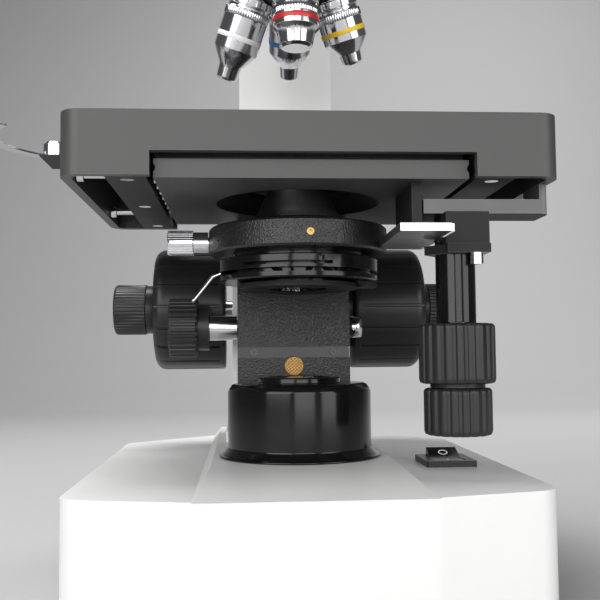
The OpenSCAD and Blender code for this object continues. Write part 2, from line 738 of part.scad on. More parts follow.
module stage_bracket() {
    w = bracket_half;
    color(BLACK) at_axis() difference() {
        union() {
            slab(-w, w, bracket_front, bracket_back, bracket_low, bracket_top);
            slab(-w, w, neck_front, bracket_back, bracket_top - e, plate_bottom);
        }
        // recess with two screws across the front
        slab(-w - 1, w + 1, bracket_front - 1, bracket_front + notch_d, notch_low, notch_high);
        // the collector housing turns clear of the bracket's foot
        rod_z(house_r + 1.5, bracket_low - 1, plateau_z + house_h + 4);
        // channel of the condenser slide
        slab(-tongue_half - gap, tongue_half + gap, tongue_front - gap, tongue_back + gap,
            tongue_low - 16, bracket_top + 1);
        slab(-4, 4, cknob_y, tongue_front, tongue_low - 16, bracket_top + 1);
        slab(-tongue_half - gap, tongue_half + gap, neck_front - 1, tongue_back + gap,
            bracket_top - 1, plate_bottom + 1);
        rod_x(cspindle_r + run, -w - 1, w + 1, cknob_y, cknob_z);
        rod_x(cpitch_r + 1, -5, 5, cknob_y, cknob_z);
        // guide of the fine movement
        slab(-fine_rail_half - gap, fine_rail_half + gap, fine_rail_front - gap, bracket_back + 1,
            fine_rail_low - fine_play, fine_rail_high + fine_play);
        rod_y(5.3, bracket_front - 1, bracket_front + 2, 0, notch_low - 4.6);
        for (x = [-20, 20]) rod_z(2.1, plate_bottom - 16, plate_bottom + 1, x, 60);
        for (x = [-22, 22]) rod_y(1.5, bracket_front, bracket_front + 10, x, notch_low + 3);
    }
}

module brass_stop() {
    color(BRASS) at_axis() rod_y(5.25, bracket_front - 0.4, bracket_front + 2, 0, notch_low - 4.6);
}

module dish_cut() {
    rotate_extrude() polygon([[0, plate_bottom - 1], [dish_r, plate_bottom - 1], [dish_r, plate_bottom],
        [dish_r - 3, plate_bottom + 2.2], [dish_r - 9, plate_bottom + 4.4], [lower_hole_r, plate_bottom + 5.4],
        [lower_hole_r, lower_top + 1], [0, lower_top + 1]]);
}

module lower_plate() {
    color(BLACK) at_axis() difference() {
        slab(lower_x0, lower_x1, -lower_half_d, lower_half_d + 1, plate_bottom, lower_top);
        dish_cut();
        for (s = [[lower_x0 - rail_gap / 2, 0], [lower_x1 + rail_gap / 2, 0]])
            rod_y(ball_r + run, -lower_half_d - 1, lower_half_d + 2, s[0], ball_z);
        for (x = [-20, 20]) rod_z(2.2, plate_bottom - 1, lower_top + 1, x, 60);
    }
}

module y_rack() {
    face = drive_x - y_pitch_r;
    color(STEEL) at_axis() {
        difference() {
            translate([face, -drive_y, rack_z - rack_t / 2]) linear_extrude(rack_t)
                rack_2d(y_m, rack_front + drive_y, rack_back + drive_y, face - rack_left);
            rod_z(ring_r + 1.5, rack_z - rack_t, rack_z + rack_t);
        }
        slab(47, 51.5, -58, rack_back, rack_z + rack_t / 2 - e, plate_bottom);
    }
}

module guide_balls() {
    color(STEEL) at_axis()
        for (x = [lower_x0 - rail_gap / 2, lower_x1 + rail_gap / 2], i = [-3 : 3])
            translate([x, i * 14, ball_z]) sphere(r = ball_r);
}

// ---- upper plate, which slides front to back ----

module upper_plate() {
    in0 = stage_x0 + skirt_t;
    in1 = stage_x1 - skirt_t;
    slot_half = cone_r + 3;
    left_rail = lower_x0 - rail_gap - rail_w;
    right_rail = lower_x1 + rail_gap;
    color(BLACK) at_axis() difference() {
        union() {
            difference() {
                translate([0, 0, plate_bottom]) linear_extrude(skirt_h)
                    polygon(rounded(rect(stage_x0, stage_x1, -stage_front, stage_back), stage_corner));
                translate([0, 0, plate_bottom - 1]) linear_extrude(skirt_h - top_t + 1)
                    polygon(rounded(rect(in0, in1, -stage_front + skirt_t, stage_back - skirt_t),
                        stage_corner - skirt_t));
            }
            for (x = [left_rail, right_rail])
                slab(x, x + rail_w, -stage_front + skirt_t - e, stage_back - skirt_t + e,
                    plate_bottom + rail_t, stage_z - top_t + e);
            // ribs that shut the gap over the lower plate, front and back
            slab(lower_x0, lower_x1, -stage_front + 16, -stage_front + 19, lower_top + gap, stage_z - top_t + e);
            slab(lower_x0, lower_x1, stage_back - 19, stage_back - 16, lower_top + gap, stage_z - top_t + e);
        }
        // the lower plate passes through the skirt, front and back
        slab(lower_x0 - 1, lower_x1 + 2, -stage_front - 1, -stage_front + skirt_t + 1, plate_bottom - 1, lower_top + 2);
        slab(lower_x0 - 1, lower_x1 + 2, stage_back - skirt_t - 1, stage_back + 1, plate_bottom - 1, lower_top + 2);
        // light opening, long enough for the whole slide
        slab(-slot_half, slot_half, -slide_y1, -slide_y0, stage_z - top_t - 1, stage_z + 1);
        rod_z(slot_half, stage_z - top_t - 1, stage_z + 1, 0, -slide_y1);
        rod_z(slot_half, stage_z - top_t - 1, stage_z + 1, 0, -slide_y0);
        for (x = [left_rail, right_rail], y = rail_screw_places)
            rod_z(1.6, plate_bottom + 5, plate_bottom + rail_t + 8, x + rail_w / 2, y);
    }
}

rail_screw_places = [-60, 8, 74];

module rail_strips() {
    color([0.16, 0.16, 0.17]) at_axis() for (side = [0, 1]) {
        x = side == 0 ? lower_x0 - rail_gap - rail_w : lower_x1 + rail_gap;
        edge = side == 0 ? lower_x0 - rail_gap / 2 : lower_x1 + rail_gap / 2;
        difference() {
            slab(x, x + rail_w, -stage_front + skirt_t + 0.5, stage_back - skirt_t - 0.5,
                plate_bottom, plate_bottom + rail_t);
            rod_y(ball_r + run, -stage_front, stage_back, edge, ball_z);
            for (y = rail_screw_places) {
                rod_z(1.7, plate_bottom - 1, plate_bottom + rail_t + 1, x + rail_w / 2, y);
                translate([x + rail_w / 2, y, plate_bottom - e]) cylinder(r1 = 3.4, r2 = 1.7, h = 2);
            }
        }
    }
}

module rail_screws() {
    left = lower_x0 - rail_gap - rail_w;
    color(STEEL) at_axis() {
        for (x = [left, lower_x1 + rail_gap], y = rail_screw_places) translate([x + rail_w / 2, y, 0]) {
            translate([0, 0, plate_bottom + 0.15]) cylinder(r1 = 3.15, r2 = 1.5, h = 1.8);
            rod_z(1.5, plate_bottom + 1.9, plate_bottom + rail_t + 6);
        }
        // adjusting screws that press the left rail against the balls
        for (y = [-53, 46]) {
            rod_x(1.8, left - 11, left, y, plate_bottom + 4);
            rod_x(3.2, left - 14, left - 11 + e, y, plate_bottom + 4);
        }
    }
}

module knob_bracket() {
    wall = 5;
    color(BLACK) at_axis() difference() {
        union() {
            translate([0, 0, bar_low]) linear_extrude(bar_high - bar_low)
                polygon([[bar_left, -bar_front], [stage_x1 - 4, -bar_front], [stage_x1 - 1.2, -bar_front + 1.4],
                    [stage_x1, -bar_front + 5], [stage_x1, -bar_back], [bar_left, -bar_back]]);
            translate([0, 0, bar_low]) linear_extrude(plate_bottom - bar_low)
                polygon([[stage_x1 - wall, -bar_front], [stage_x1 - 4, -bar_front], [stage_x1 - 1.2, -bar_front + 1.4],
                    [stage_x1, -bar_front + 5], [stage_x1, -bar_back], [stage_x1 - wall, -bar_back]]);
            // block round the pinion
            slab(drive_x - 6.5, block_right, -62, -38.5, block_low, bar_low + e);
            slab(drive_x - 6.5, block_right, -64, -39, block_low - flange_t, block_low + e);
            translate([0, 0, block_low - flange_t]) linear_extrude(flange_t)
                polygon([[54, -50], [drive_x - 6, -59], [drive_x - 6, -42]]);
        }
        rod_z(sleeve_r, block_low - flange_t - 1, block_low, drive_x, -drive_y);
        rod_z(y_shaft_r + run, block_low - 1, rack_z + 6, drive_x, -drive_y);
        // room for the pinion, open to the rack on the left
        rod_z(y_pitch_r + 1.2, rack_z - rack_t / 2 - 0.4, rack_z + rack_t / 2 + 0.8, drive_x, -drive_y);
        slab(50, drive_x - y_pitch_r + 1.6, -64, -36, rack_z - rack_t / 2 - 0.4, rack_z + rack_t / 2 + 0.8);
        rod_z(x_shaft_r + run, rack_z, bar_low + 2.5, drive_x, -drive_y);
    }
    color(STEEL) at_axis() difference() {
        rod_z(2.9, block_low - flange_t - 5, block_low - flange_t, 75, -60.8);
        rod_z(1.4, block_low - flange_t - 6, block_low - flange_t - 2, 75, -60.8);
    }
}

module knob_sleeve() {
    color(BLACK) at_axis() difference() {
        rod_z(sleeve_r, y_knob_low + y_knob_h + gap, block_low, drive_x, -drive_y);
        rod_z(y_shaft_r + run, y_knob_low, block_low + 1, drive_x, -drive_y);
    }
}

module y_knob() {
    color(BLACK) at_axis() translate([drive_x, -drive_y, 0]) difference() {
        union() {
            translate([0, 0, y_knob_low]) fluted(y_knob_r, y_knob_h, 20, 0.9, 1.6, 1.8);
            rod_z(x_knob_r - 3, y_knob_low - 1.7, y_knob_low + 1);
            rod_z(y_shaft_r, y_knob_low + 1, rack_z - rack_t / 2);
            translate([0, 0, rack_z - rack_t / 2 - e]) linear_extrude(rack_t) gear_2d(y_m, y_n);
        }
        rod_z(x_shaft_r + run, y_knob_low - 3, rack_z + 5);
    }
}

module x_knob() {
    color(BLACK) at_axis() translate([drive_x, -drive_y, 0]) {
        translate([0, 0, x_knob_low]) fluted(x_knob_r, x_knob_h, 18, 0.9, 1.6, 1.8);
        rod_z(x_shaft_r, x_knob_low + 2, bar_low + 2);
    }
}

// ---- slide holder, which moves side to side on the upper plate ----

module slide_holder() {
    z = stage_z + holder_lift;
    color(BLACK) at_axis() {
        slab(holder_left, holder_right, bar_y0, bar_y1, z, z + 6);
        slab(holder_left - 8, holder_right - 8, 17, bar_y0 + e, z, z + holder_t);
        slab(holder_right - 8 - e, holder_right, -10, bar_y0 + e, z, z + holder_t);
    }
    color(STEEL) at_axis() {
        rod_z(5.4, z + holder_t - e, z + 7.6, holder_left - 2, 24);
        rod_z(4.2, z + 7.5, z + 8.8, holder_left - 2, 24);
    }
}

finger_x = holder_left + 4;
finger_y = (bar_y0 + bar_y1) / 2;

module spring_finger() {
    z = stage_z + holder_lift + 6 + gap;
    big = 46;
    color(STEEL) at_axis() {
        rod_z(4.5, z, z + 1.2, finger_x, finger_y);
        rod_z(3, z + 1.2 - e, z + 3, finger_x, finger_y);
        // curved flat spring from the pivot to the corner of the slide
        translate([finger_x + 12, finger_y - 44.4, z]) rotate([0, 0, 105])
            rotate_extrude(angle = 118) translate([big - 3.5, 0]) square([7, 1.2]);
    }
}

// ---- condenser ----

module condenser_ring() {
    color(BLACK) at_axis() difference() {
        union() {
            rotate_extrude() polygon([[condenser_r, ring_z], [ring_r - 1, ring_z], [ring_r, ring_z + 1],
                [ring_r, ring_top - 1], [ring_r - 1, ring_top], [condenser_r, ring_top]]);
            slab(-tongue_half, tongue_half, condenser_r + 5, tongue_back, ring_z + 0.5, ring_top);
            slab(-tongue_half, tongue_half, tongue_front, tongue_back, tongue_low, ring_top);
        }
        slab(-3, 3, tongue_front - 1, tongue_front + 3, tongue_low - 1, ring_z);
        rod_x(3.05, -ring_r - 1, -condenser_r + 1, 0, ring_z + 6.3);
        rod_y(1.8, -ring_r - 1, -ring_r + 4, 3, ring_z + 6.3);
    }
    color(BRASS) at_axis() difference() {
        rod_y(1.75, -ring_r + 0.8, -ring_r + 4, 3, ring_z + 6.3);
        translate([3, -ring_r + 1.8, ring_z + 6.3]) rotate([90, 0, 0]) cylinder(r = 0.9, h = 3, $fn = 6);
    }
    color(STEEL) at_axis() {
        rod_x(2.2, ring_r - 0.5, ring_r + 5, -2, ring_z + 7.5);
        rod_x(3.4, ring_r + 5 - e, ring_r + 9, -2, ring_z + 7.5);
    }
}

module condenser_rack() {
    color(BRASS) at_axis() translate([-3, cpitch_y, cknob_z]) rotate([90, 0, 90])
        linear_extrude(6) mirror([1, 0])
            rack_2d(crack_m, tongue_low - cknob_z, ring_z - cknob_z - 0.5, tongue_front + 3 - cpitch_y, 0.16);
}

module condenser_body() {
    r = condenser_r - 0.1;
    inner = 21;
    color(BLACK) at_axis() difference() {
        rotate_extrude() polygon([
            [inner, filter_high + 0.4], [24, filter_high + 0.4], [24, iris_low - 4.6], [iris_r - 0.6, iris_low - 4.6],
            [iris_r, iris_low - 4], [iris_r, iris_low - iris_gap - 0.2], [24, iris_low - iris_gap - 0.2],
            [24, iris_low], [iris_r, iris_low], [iris_r, iris_top - 0.6], [iris_r - 0.6, iris_top], [r - 1, iris_top],
            [r - 1, ring_z - 0.2], [r, ring_z - 0.2], [r, ring_top + 1.5], [r - 1, ring_top + 2.5],
            [26, ring_top + 3.2], [20.5, ring_top + 8], [cone_r + 1, ring_top + 18], [cone_r, ring_top + 20],
            [cone_r, condenser_top], [lens_r, condenser_top], [lens_r, condenser_top - 4], [lens_r - 1.5, condenser_top - 4],
            [lens_r - 1.5, ring_top + 12], [17.6, ring_top + 2], [17.6, ring_z + 4], [inner, ring_z + 4]]);
        // slot in the upper ring, with its stop screw
        rotate([0, 0, 225]) rotate_extrude(angle = 65) translate([iris_r - 5, iris_low + 1.4]) square([6, 1.6]);
        rod_y(1.7, -iris_r - 1, -iris_r + 1, 9, iris_low + 3.2);
    }
}

module condenser_lenses() {
    color(GLASS) at_axis() {
        rotate_extrude() polygon([[0, condenser_top - 4], [lens_r - 0.05, condenser_top - 4],
            [lens_r - 0.05, condenser_top - 0.8], [lens_r - 1.5, condenser_top - 0.3], [0, condenser_top - 0.3]]);
        rotate_extrude() polygon([[0, ring_z - 3], [8, ring_z - 2.2], [15, ring_z], [20.9, ring_z + 3],
            [20.9, ring_z + 4], [0, ring_z + 4]]);
    }
}

module iris_ring() {
    z = iris_low - iris_gap;
    color(STEEL) at_axis() {
        ring(iris_r - 3, 24 + run * 4, z, iris_low - 0.2);
        rotate([0, 0, 202]) {
            slab(iris_r - 4, iris_r + 2, -0.8, 0.8, z, z + 1.6);
            hull() {
                translate([iris_r + 1.4, 0, z + 0.8]) sphere(r = 0.8, $fn = 16);
                translate([iris_r + 6, 0, z - 1]) sphere(r = 0.8, $fn = 16);
            }
            hull() {
                translate([iris_r + 6, 0, z - 1]) sphere(r = 0.8, $fn = 16);
                translate([iris_r + 15.5, 0, z - 12.5]) sphere(r = 0.8, $fn = 16);
            }
        }
    }
}

module filter_carrier() {
    color(BLACK) at_axis() difference() {
        union() {
            rod_z(filter_ring_r, filter_low, filter_high - 0.2);
            intersection() {
                rod_z(filter_ring_r + 10, filter_low, filter_high - 0.2);
                translate([filter_x, filter_y, filter_low]) cylinder(r = 5, h = 8);
            }
        }
        rod_z(16.2, filter_low + 1, filter_high + 1);
        rod_z(14.5, filter_low - 1, filter_high + 1);
        rod_z(1.7, filter_low - 1, filter_high + 1, filter_x, filter_y);
    }
    color(GLASS) at_axis() rod_z(16.1, filter_low + 1, filter_low + 2);
}

module condenser_knob() {
    color(BLACK) at_axis() translate([0, cknob_y, cknob_z]) {
        difference() {
            union() {
                translate([-52.7, 0, 0]) rotate([0, -90, 0]) fluted(cknob_r, 15.7, 32, 0.7, 1.3, 0.8);
                rod_x(12.5, -52.7 - e, -46.5, 0, 0);
            }
            rod_x(cshaft_r, -54, -46, 0, 0);
        }
    }
    color(STEEL) at_axis() translate([0, cknob_y, cknob_z]) {
        rod_x(cshaft_r, -54, -bracket_half - gap, 0, 0);
        rod_x(cshaft_r - 1, bracket_half + gap, 38.2, 0, 0);
        rod_x(cspindle_r, -bracket_half - gap - e, -5.5, 0, 0);
        rod_x(cspindle_r, 5.5, bracket_half + gap + e, 0, 0);
        rod_x(3, -5.5 - e, 5.5 + e, 0, 0);
        translate([-3.5, 0, 0]) rotate([0, 90, 0]) linear_extrude(7) rotate(90) gear_2d(crack_m, crack_n, 0.16);
    }
}

module centring_screw() {
    color(STEEL) at_axis() translate([0, 0, ring_z + 6.3]) {
        rod_x(3, -ring_r - 8, -condenser_r - 2.5, 0, 0);
        rod_x(5.5, -ring_r - 7.5, -ring_r - gap, 0, 0);
        difference() {
            translate([-ring_r - 7.5 + e, 0, 0]) rotate([0, -90, 0]) fluted(6.4, 13, 28, 0.4, 0.7, 0.5);
            slab(-ring_r - 22, -ring_r - 19.3, -8, 8, -0.6, 0.6);
        }
    }
}

// ---- nosepiece and objectives ----

module along_nose() {
    translate([0, 0, apex_z]) rotate([180 + nose_tilt, 0, 0]) children();
}

module on_objective(k) {
    along_nose() rotate([0, 0, k * 90]) rotate([-nose_tilt, 0, 0]) children();
}

module nosepiece_mount() {
    color(BLACK) at_axis() difference() {
        along_nose() union() {
            translate([0, 0, 8]) cylinder(r = mount_r, h = turret_top - mount_gap - 8);
            translate([0, 0, turret_top - mount_gap - 8]) cylinder(r = 8, h = 14);
        }
        slab(-60, 60, -60, 90, beam_z, beam_z + 90);
        rod_z(9, shoulder_z - 10, beam_z + 1);
    }
}

module nosepiece_turret() {
    edge_s = shoulder_s - 13 * sin(nose_tilt);
    edge_r = shoulder_r + 13 * cos(nose_tilt);
    in_s = shoulder_s + (shoulder_r - 8) * tan(nose_tilt);
    color(BLACK) at_axis() difference() {
        along_nose() difference() {
            rotate_extrude() polygon([[0, turret_top], [turret_r - 2, turret_top], [turret_r, turret_top + 1.5],
                [turret_r, turret_top + 11], [edge_r, edge_s], [8, in_s], [0, in_s]]);
            translate([0, 0, turret_top - 1]) cylinder(r = 8 + run * 4, h = 9);
            for (i = [0 : 59]) rotate([0, 0, i * 6]) translate([turret_r - 0.6, -0.5, turret_top + 2]) cube([3, 1, 8]);
            // dished inside, over the objectives' bores
            translate([0, 0, turret_top + 8 - e]) cylinder(r = 5, h = 3);
        }
        for (k = [0 : 3]) on_objective(k) translate([0, 0, nose_len - 24]) cylinder(r = thread_r, h = 30);
    }
}

// objective along +Z from its shoulder, with its front lens at the given length
module objective(long, body_r, tip_r) {
    difference() {
        rotate_extrude() polygon([[0, -4.5], [thread_r - 0.05, -4.5], [thread_r - 0.05, 0], [body_r, 0],
            [body_r, 4], [body_r - 0.8, 4.6], [body_r - 0.8, 6], [body_r, 6.6], [body_r, 0.62 * long],
            [body_r - 2, 0.7 * long], [tip_r + 2.2, 0.82 * long], [tip_r + 1.6, long - 1.2], [tip_r, long], [0, long]]);
        translate([0, 0, -5]) cylinder(r = 6.5, h = long * 0.5 + 5);
        translate([0, 0, long * 0.5 - e]) cylinder(r = tip_r * 0.5, h = long * 0.5 - 1);
    }
}

module objective_4x() {
    color(STEEL) at_axis() on_objective(0) translate([0, 0, nose_len]) objective(27, 12, 7);
}

module objective_10x() {
    color(STEEL) at_axis() on_objective(3) translate([0, 0, nose_len]) objective(35, 12, 4);
}

module objective_40x() {
    color(STEEL) at_axis() on_objective(2) translate([0, 0, nose_len]) objective(44.3, 12, 3.4);
}

module objective_100x() {
    color(STEEL) at_axis() on_objective(1) translate([0, 0, nose_len]) objective(44.7, 12, 4);
}

// ---- binocular head ----

module along_head() {
    translate([0, head_front_y, head_front_z]) rotate([60, 0, 0]) children();
}

module head_housing() {
    color(WHITE) at_axis() difference() {
        union() {
            rod_z(dovetail_r, head_z - seat_d + gap, head_z + gap + e);
            rod_z(dovetail_r + 4, head_z + gap, head_z + gap + 1);
            rod_z(33, head_z + gap, head_z + 9);
            translate([-40, 0, 0]) rotate([90, 0, 90]) linear_extrude(80)
                polygon([[-28, head_z + 9 - e], [head_front_y - 12, head_front_z - 12 * tan(60)],
                    [head_front_y + 12, head_front_z + 12 * tan(60)], [head_front_y + 19, head_front_z + 26],
                    [16, head_front_z + 20], [32, head_front_z + 4], [35, head_z + 20], [31, head_z + 9 - e]]);
        }
        rod_z(10, head_z - seat_d, head_z + 30);
        translate([-34, -26, head_z + 14]) cube([68, 54, 22]);
    }
}

module head_screw() {
    color(STEEL) at_axis() {
        rod_x(clamp_r, dovetail_r + run, beam_r + 2, 0, clamp_z);
        translate([beam_r + 1.5, 0, clamp_z]) rotate([0, 90, 0]) fluted(7, 9, 24, 0.5, 0.9, 0.6);
    }
}

// outline of one eyepiece housing, from the hinge to the eyepiece
module leaf_2d(side) {
    rotate(side < 0 ? 180 + swing : -swing) {
        circle(r = leaf_r);
        translate([0, -leaf_r]) square([eye_arm, 2 * leaf_r]);
        translate([eye_arm, 0]) circle(r = leaf_r);
    }
}

module eye_tube(side) {
    low = leaf_gap + (side < 0 ? 0 : leaf_t + leaf_gap);
    top = 2 * leaf_t + 2 * leaf_gap;
    dx = side * eye_arm * cos(swing);
    dy = -eye_arm * sin(swing);
    along_head() difference() {
        union() {
            translate([0, 0, low]) linear_extrude(leaf_t) leaf_2d(side);
            difference() {
                translate([dx, dy, leaf_gap]) cylinder(r = tower_r, h = top - leaf_gap);
                translate([0, 0, side > 0 ? -1 : leaf_t + leaf_gap])
                    cylinder(r = leaf_r + 1, h = leaf_t + leaf_gap + 1);
            }
            translate([dx, dy, top - e]) cylinder(r = tube_r, h = tube_len);
            translate([dx, dy, top - e]) cylinder(r = tube_r + 2, h = 7);
        }
        translate([dx, dy, 2]) cylinder(r = eyepiece_r + run, h = top + tube_len);
    }
}

module eye_tube_left() {
    color(WHITE) at_axis() eye_tube(-1);
}

module eye_tube_right() {
    color(WHITE) at_axis() eye_tube(1);
}

// eyepiece with its barrel in the tube and a rubber cup round the eye lens
module eyepiece(side) {
    top = 2 * leaf_t + 2 * leaf_gap + tube_len;
    along_head()
        translate([side * eye_arm * cos(swing), -eye_arm * sin(swing), top]) {
            color(BLACK) difference() {
                union() {
                    translate([0, 0, -22]) cylinder(r = eyepiece_r, h = 23);
                    rotate_extrude() polygon([[0, gap], [16, gap], [17, 1.3], [17, 12], [16, 13], [16, 22],
                        [16.4, 24], [16.8, 30], [16.2, 33], [13.5, 31], [12.5, 27], [0, 27]]);
                }
                translate([0, 0, -23]) cylinder(r = 9.5, h = 30);
                translate([0, 0, 6]) cylinder(r = 9, h = 15);
                translate([0, 0, 20]) cylinder(r = 10.5, h = 12);
            }
            color(GLASS) rotate_extrude() polygon([[0, 20], [10.45, 20], [10.45, 22], [6, 23.3], [0, 23.8]]);
        }
}

module eyepiece_left() {
    at_axis() eyepiece(-1);
}

module eyepiece_right() {
    at_axis() eyepiece(1);
}

base_shell();
bottom_cover();
rubber_feet();
cover_screws();
arm();
arm_bolts();
collector_housing();
field_lens();
lamp_socket();
lamp();
power_board();
mains_inlet();
switch_bezel();
switch_rocker();
dimmer_pot();
brightness_knob();
focus_bushes();
coarse_tube();
coarse_knob_left();
coarse_knob_right();
tension_collar();
fine_shaft();
fine_knob_left();
fine_knob_right();
focus_slide();
focus_rack();
stage_bracket();
brass_stop();
lower_plate();
y_rack();
guide_balls();
upper_plate();
rail_strips();
rail_screws();
knob_bracket();
knob_sleeve();
y_knob();
x_knob();
slide_holder();
spring_finger();
condenser_ring();
condenser_rack();
condenser_body();
condenser_lenses();
condenser_knob();
centring_screw();
iris_ring();
filter_carrier();
nosepiece_mount();
nosepiece_turret();
objective_4x();
objective_10x();
objective_40x();
objective_100x();
head_housing();
head_screw();
eye_tube_left();
eye_tube_right();
eyepiece_left();
eyepiece_right();
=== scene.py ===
# %% [markdown]
# A laboratory microscope, finished in Blender
#
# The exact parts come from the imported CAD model, in metres and already in place. This lesson gives
# them their paint, metal, rubber and glass, rounds the edges that a caster or a turner would round,
# and models the fluted knobs, marks and small screws that a plain CAD solid only hints at.

# %% Load the frame
import json
import math

import bmesh
import bpy
from mathutils import Matrix, Vector


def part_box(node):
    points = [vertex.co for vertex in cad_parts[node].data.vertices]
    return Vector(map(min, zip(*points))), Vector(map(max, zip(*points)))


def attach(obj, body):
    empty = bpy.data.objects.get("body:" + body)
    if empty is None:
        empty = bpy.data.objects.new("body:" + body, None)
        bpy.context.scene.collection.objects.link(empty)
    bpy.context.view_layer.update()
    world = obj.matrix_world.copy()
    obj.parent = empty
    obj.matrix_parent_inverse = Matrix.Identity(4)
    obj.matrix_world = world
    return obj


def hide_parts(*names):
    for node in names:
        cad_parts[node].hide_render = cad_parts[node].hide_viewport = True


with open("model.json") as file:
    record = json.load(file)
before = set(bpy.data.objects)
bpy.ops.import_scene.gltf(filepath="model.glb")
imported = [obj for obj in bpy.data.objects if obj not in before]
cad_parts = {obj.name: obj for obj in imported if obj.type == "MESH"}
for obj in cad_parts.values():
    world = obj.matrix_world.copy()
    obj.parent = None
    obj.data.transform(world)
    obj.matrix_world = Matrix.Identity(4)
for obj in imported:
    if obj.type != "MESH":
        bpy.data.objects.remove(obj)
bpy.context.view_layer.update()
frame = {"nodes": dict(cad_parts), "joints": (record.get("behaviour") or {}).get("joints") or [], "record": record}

# %% [markdown]
# Everything on this instrument stands round one vertical line, the optical axis. Sizes below are
# millimetres from that line, because that is how a maker's drawing gives them, and one matrix turns
# them into metres in the shared frame. The collector housing is turned about the axis, so the middle
# of its box finds it.

# %% The optical axis
MM = 0.001
housing_low, housing_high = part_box("collector_housing")
AXIS = Vector(((housing_low.x + housing_high.x) / 2, (housing_low.y + housing_high.y) / 2, 0))
TO_FRAME = Matrix.Translation(AXIS) @ Matrix.Scale(MM, 4)
TO_DRAWING = TO_FRAME.inverted()
record = frame["record"]
BODY_OF = {node: body for body, nodes in record["behaviour"]["bodies"].items() for node in nodes}
PIVOT = {joint["name"]: TO_DRAWING @ Vector(joint["pos_m"]) for joint in frame["joints"] if "pos_m" in joint}


def drawing_box(node):
    low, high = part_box(node)
    return TO_DRAWING @ low, TO_DRAWING @ high


print("optical axis at", [round(v, 4) for v in AXIS])

# %% [markdown]
# The camera stands low and close, a little left of the middle, so that the underside of the stage
# shows. It comes first, because every later choice is judged through it. Its three directions are
# written as the columns of its matrix: right, up and backwards.

# %% Camera
FOCAL_PIXELS = 856.09
IMAGE_PIXELS = 600
yaw, pitch, roll = math.radians(3.87), math.radians(3.57), math.radians(-0.54)
forward = Vector((math.sin(yaw) * math.cos(pitch), math.cos(yaw) * math.cos(pitch), math.sin(pitch)))
level_right = Vector((math.cos(yaw), -math.sin(yaw), 0))
level_up = level_right.cross(forward)
right = level_right * math.cos(roll) + level_up * math.sin(roll)
up = -level_right * math.sin(roll) + level_up * math.cos(roll)
lens = bpy.data.cameras.new("camera")
lens.sensor_width = 36
lens.lens = FOCAL_PIXELS * lens.sensor_width / IMAGE_PIXELS
lens.clip_start = 0.01
camera = bpy.data.objects.new("camera", lens)
bpy.context.scene.collection.objects.link(camera)
turn = Matrix((right, up, -forward)).transposed().to_4x4()
camera.matrix_world = Matrix.Translation(AXIS + Vector((-28.29, -430.22, 112.6)) * MM) @ turn
bpy.context.scene.camera = camera
print("camera at", [round(v, 3) for v in camera.matrix_world.translation])

# %% [markdown]
# The studio is a pale sheet that runs along the table and curves up behind the instrument, as a
# photographer hangs it, so that no line shows where the floor ends. It is a few points pulled
# sideways into a sheet. Soft light comes from large lamps: a key at the upper left, weaker ones in
# front and at the right, one overhead, and one behind that lights the sheet itself.

# %% Studio
bm = bmesh.new()
sweep = [(-2.5, 0), (1.2, 0)] + [(1.2 + 0.8 * math.sin(a), 0.8 - 0.8 * math.cos(a))
         for a in [math.radians(15 * i) for i in range(1, 7)]] + [(2.0, 3.0)]
points = [bm.verts.new((-3, y, z)) for y, z in sweep]
edges = [bm.edges.new(pair) for pair in zip(points, points[1:])]
pulled = bmesh.ops.extrude_edge_only(bm, edges=edges)["geom"]
bmesh.ops.translate(bm, vec=(6, 0, 0), verts=[v for v in pulled if isinstance(v, bmesh.types.BMVert)])
bmesh.ops.recalc_face_normals(bm, faces=bm.faces)
if sum(f.normal.z for f in bm.faces) < 0:
    bmesh.ops.reverse_faces(bm, faces=bm.faces)
sheet_mesh = bpy.data.meshes.new("backdrop")
bm.to_mesh(sheet_mesh)
bm.free()
sheet_mesh.shade_smooth()
backdrop = bpy.data.objects.new("backdrop", sheet_mesh)
bpy.context.scene.collection.objects.link(backdrop)
paper = bpy.data.materials.new("backdrop_paper")
paper.use_nodes = True
paper.node_tree.nodes["Principled BSDF"].inputs["Base Color"].default_value = (0.44, 0.435, 0.44, 1)
paper.node_tree.nodes["Principled BSDF"].inputs["Roughness"].default_value = 0.9
sheet_mesh.materials.append(paper)


def soft_lamp(name, place, size, watts, target=(0, 0, 0.16)):
    light = bpy.data.lights.new(name, "AREA")
    light.size = size
    light.energy = watts
    lamp = bpy.data.objects.new(name, light)
    bpy.context.scene.collection.objects.link(lamp)
    aim = AXIS + Vector(target) - Vector(place)
    lamp.location = place
    lamp.rotation_euler = aim.to_track_quat("-Z", "Y").to_euler()


soft_lamp("key", (-0.85, -1.20, 0.60), 1.1, 15)
soft_lamp("front", (0.15, -1.60, 0.45), 0.9, 9)
soft_lamp("fill", (1.05, -1.0, 0.40), 0.8, 7)
soft_lamp("overhead", (-0.3, 0.05, 1.4), 0.8, 21)
soft_lamp("wall", (0.75, 0.75, 1.1), 0.9, 13, (0.5, 2.0, 0.35))
world = bpy.data.worlds.new("studio")
world.use_nodes = True
world.node_tree.nodes["Background"].inputs["Color"].default_value = (0.9, 0.92, 0.95, 1)
world.node_tree.nodes["Background"].inputs["Strength"].default_value = 0.10
bpy.context.scene.world = world
bpy.context.scene.view_settings.view_transform = "Standard"

# %% [markdown]
# A painted or machined surface is never one flat colour. One recipe serves every finish here: a
# slow drift between two shades, a fine grain that lifts the surface, a roughness that wanders a
# little, and an edge that shows wear. The Bevel node finds the edges: where its rounded normal and
# the true normal part company, the surface turns a corner. All patterns read Object coordinates, so
# they stay on the piece wherever it goes.

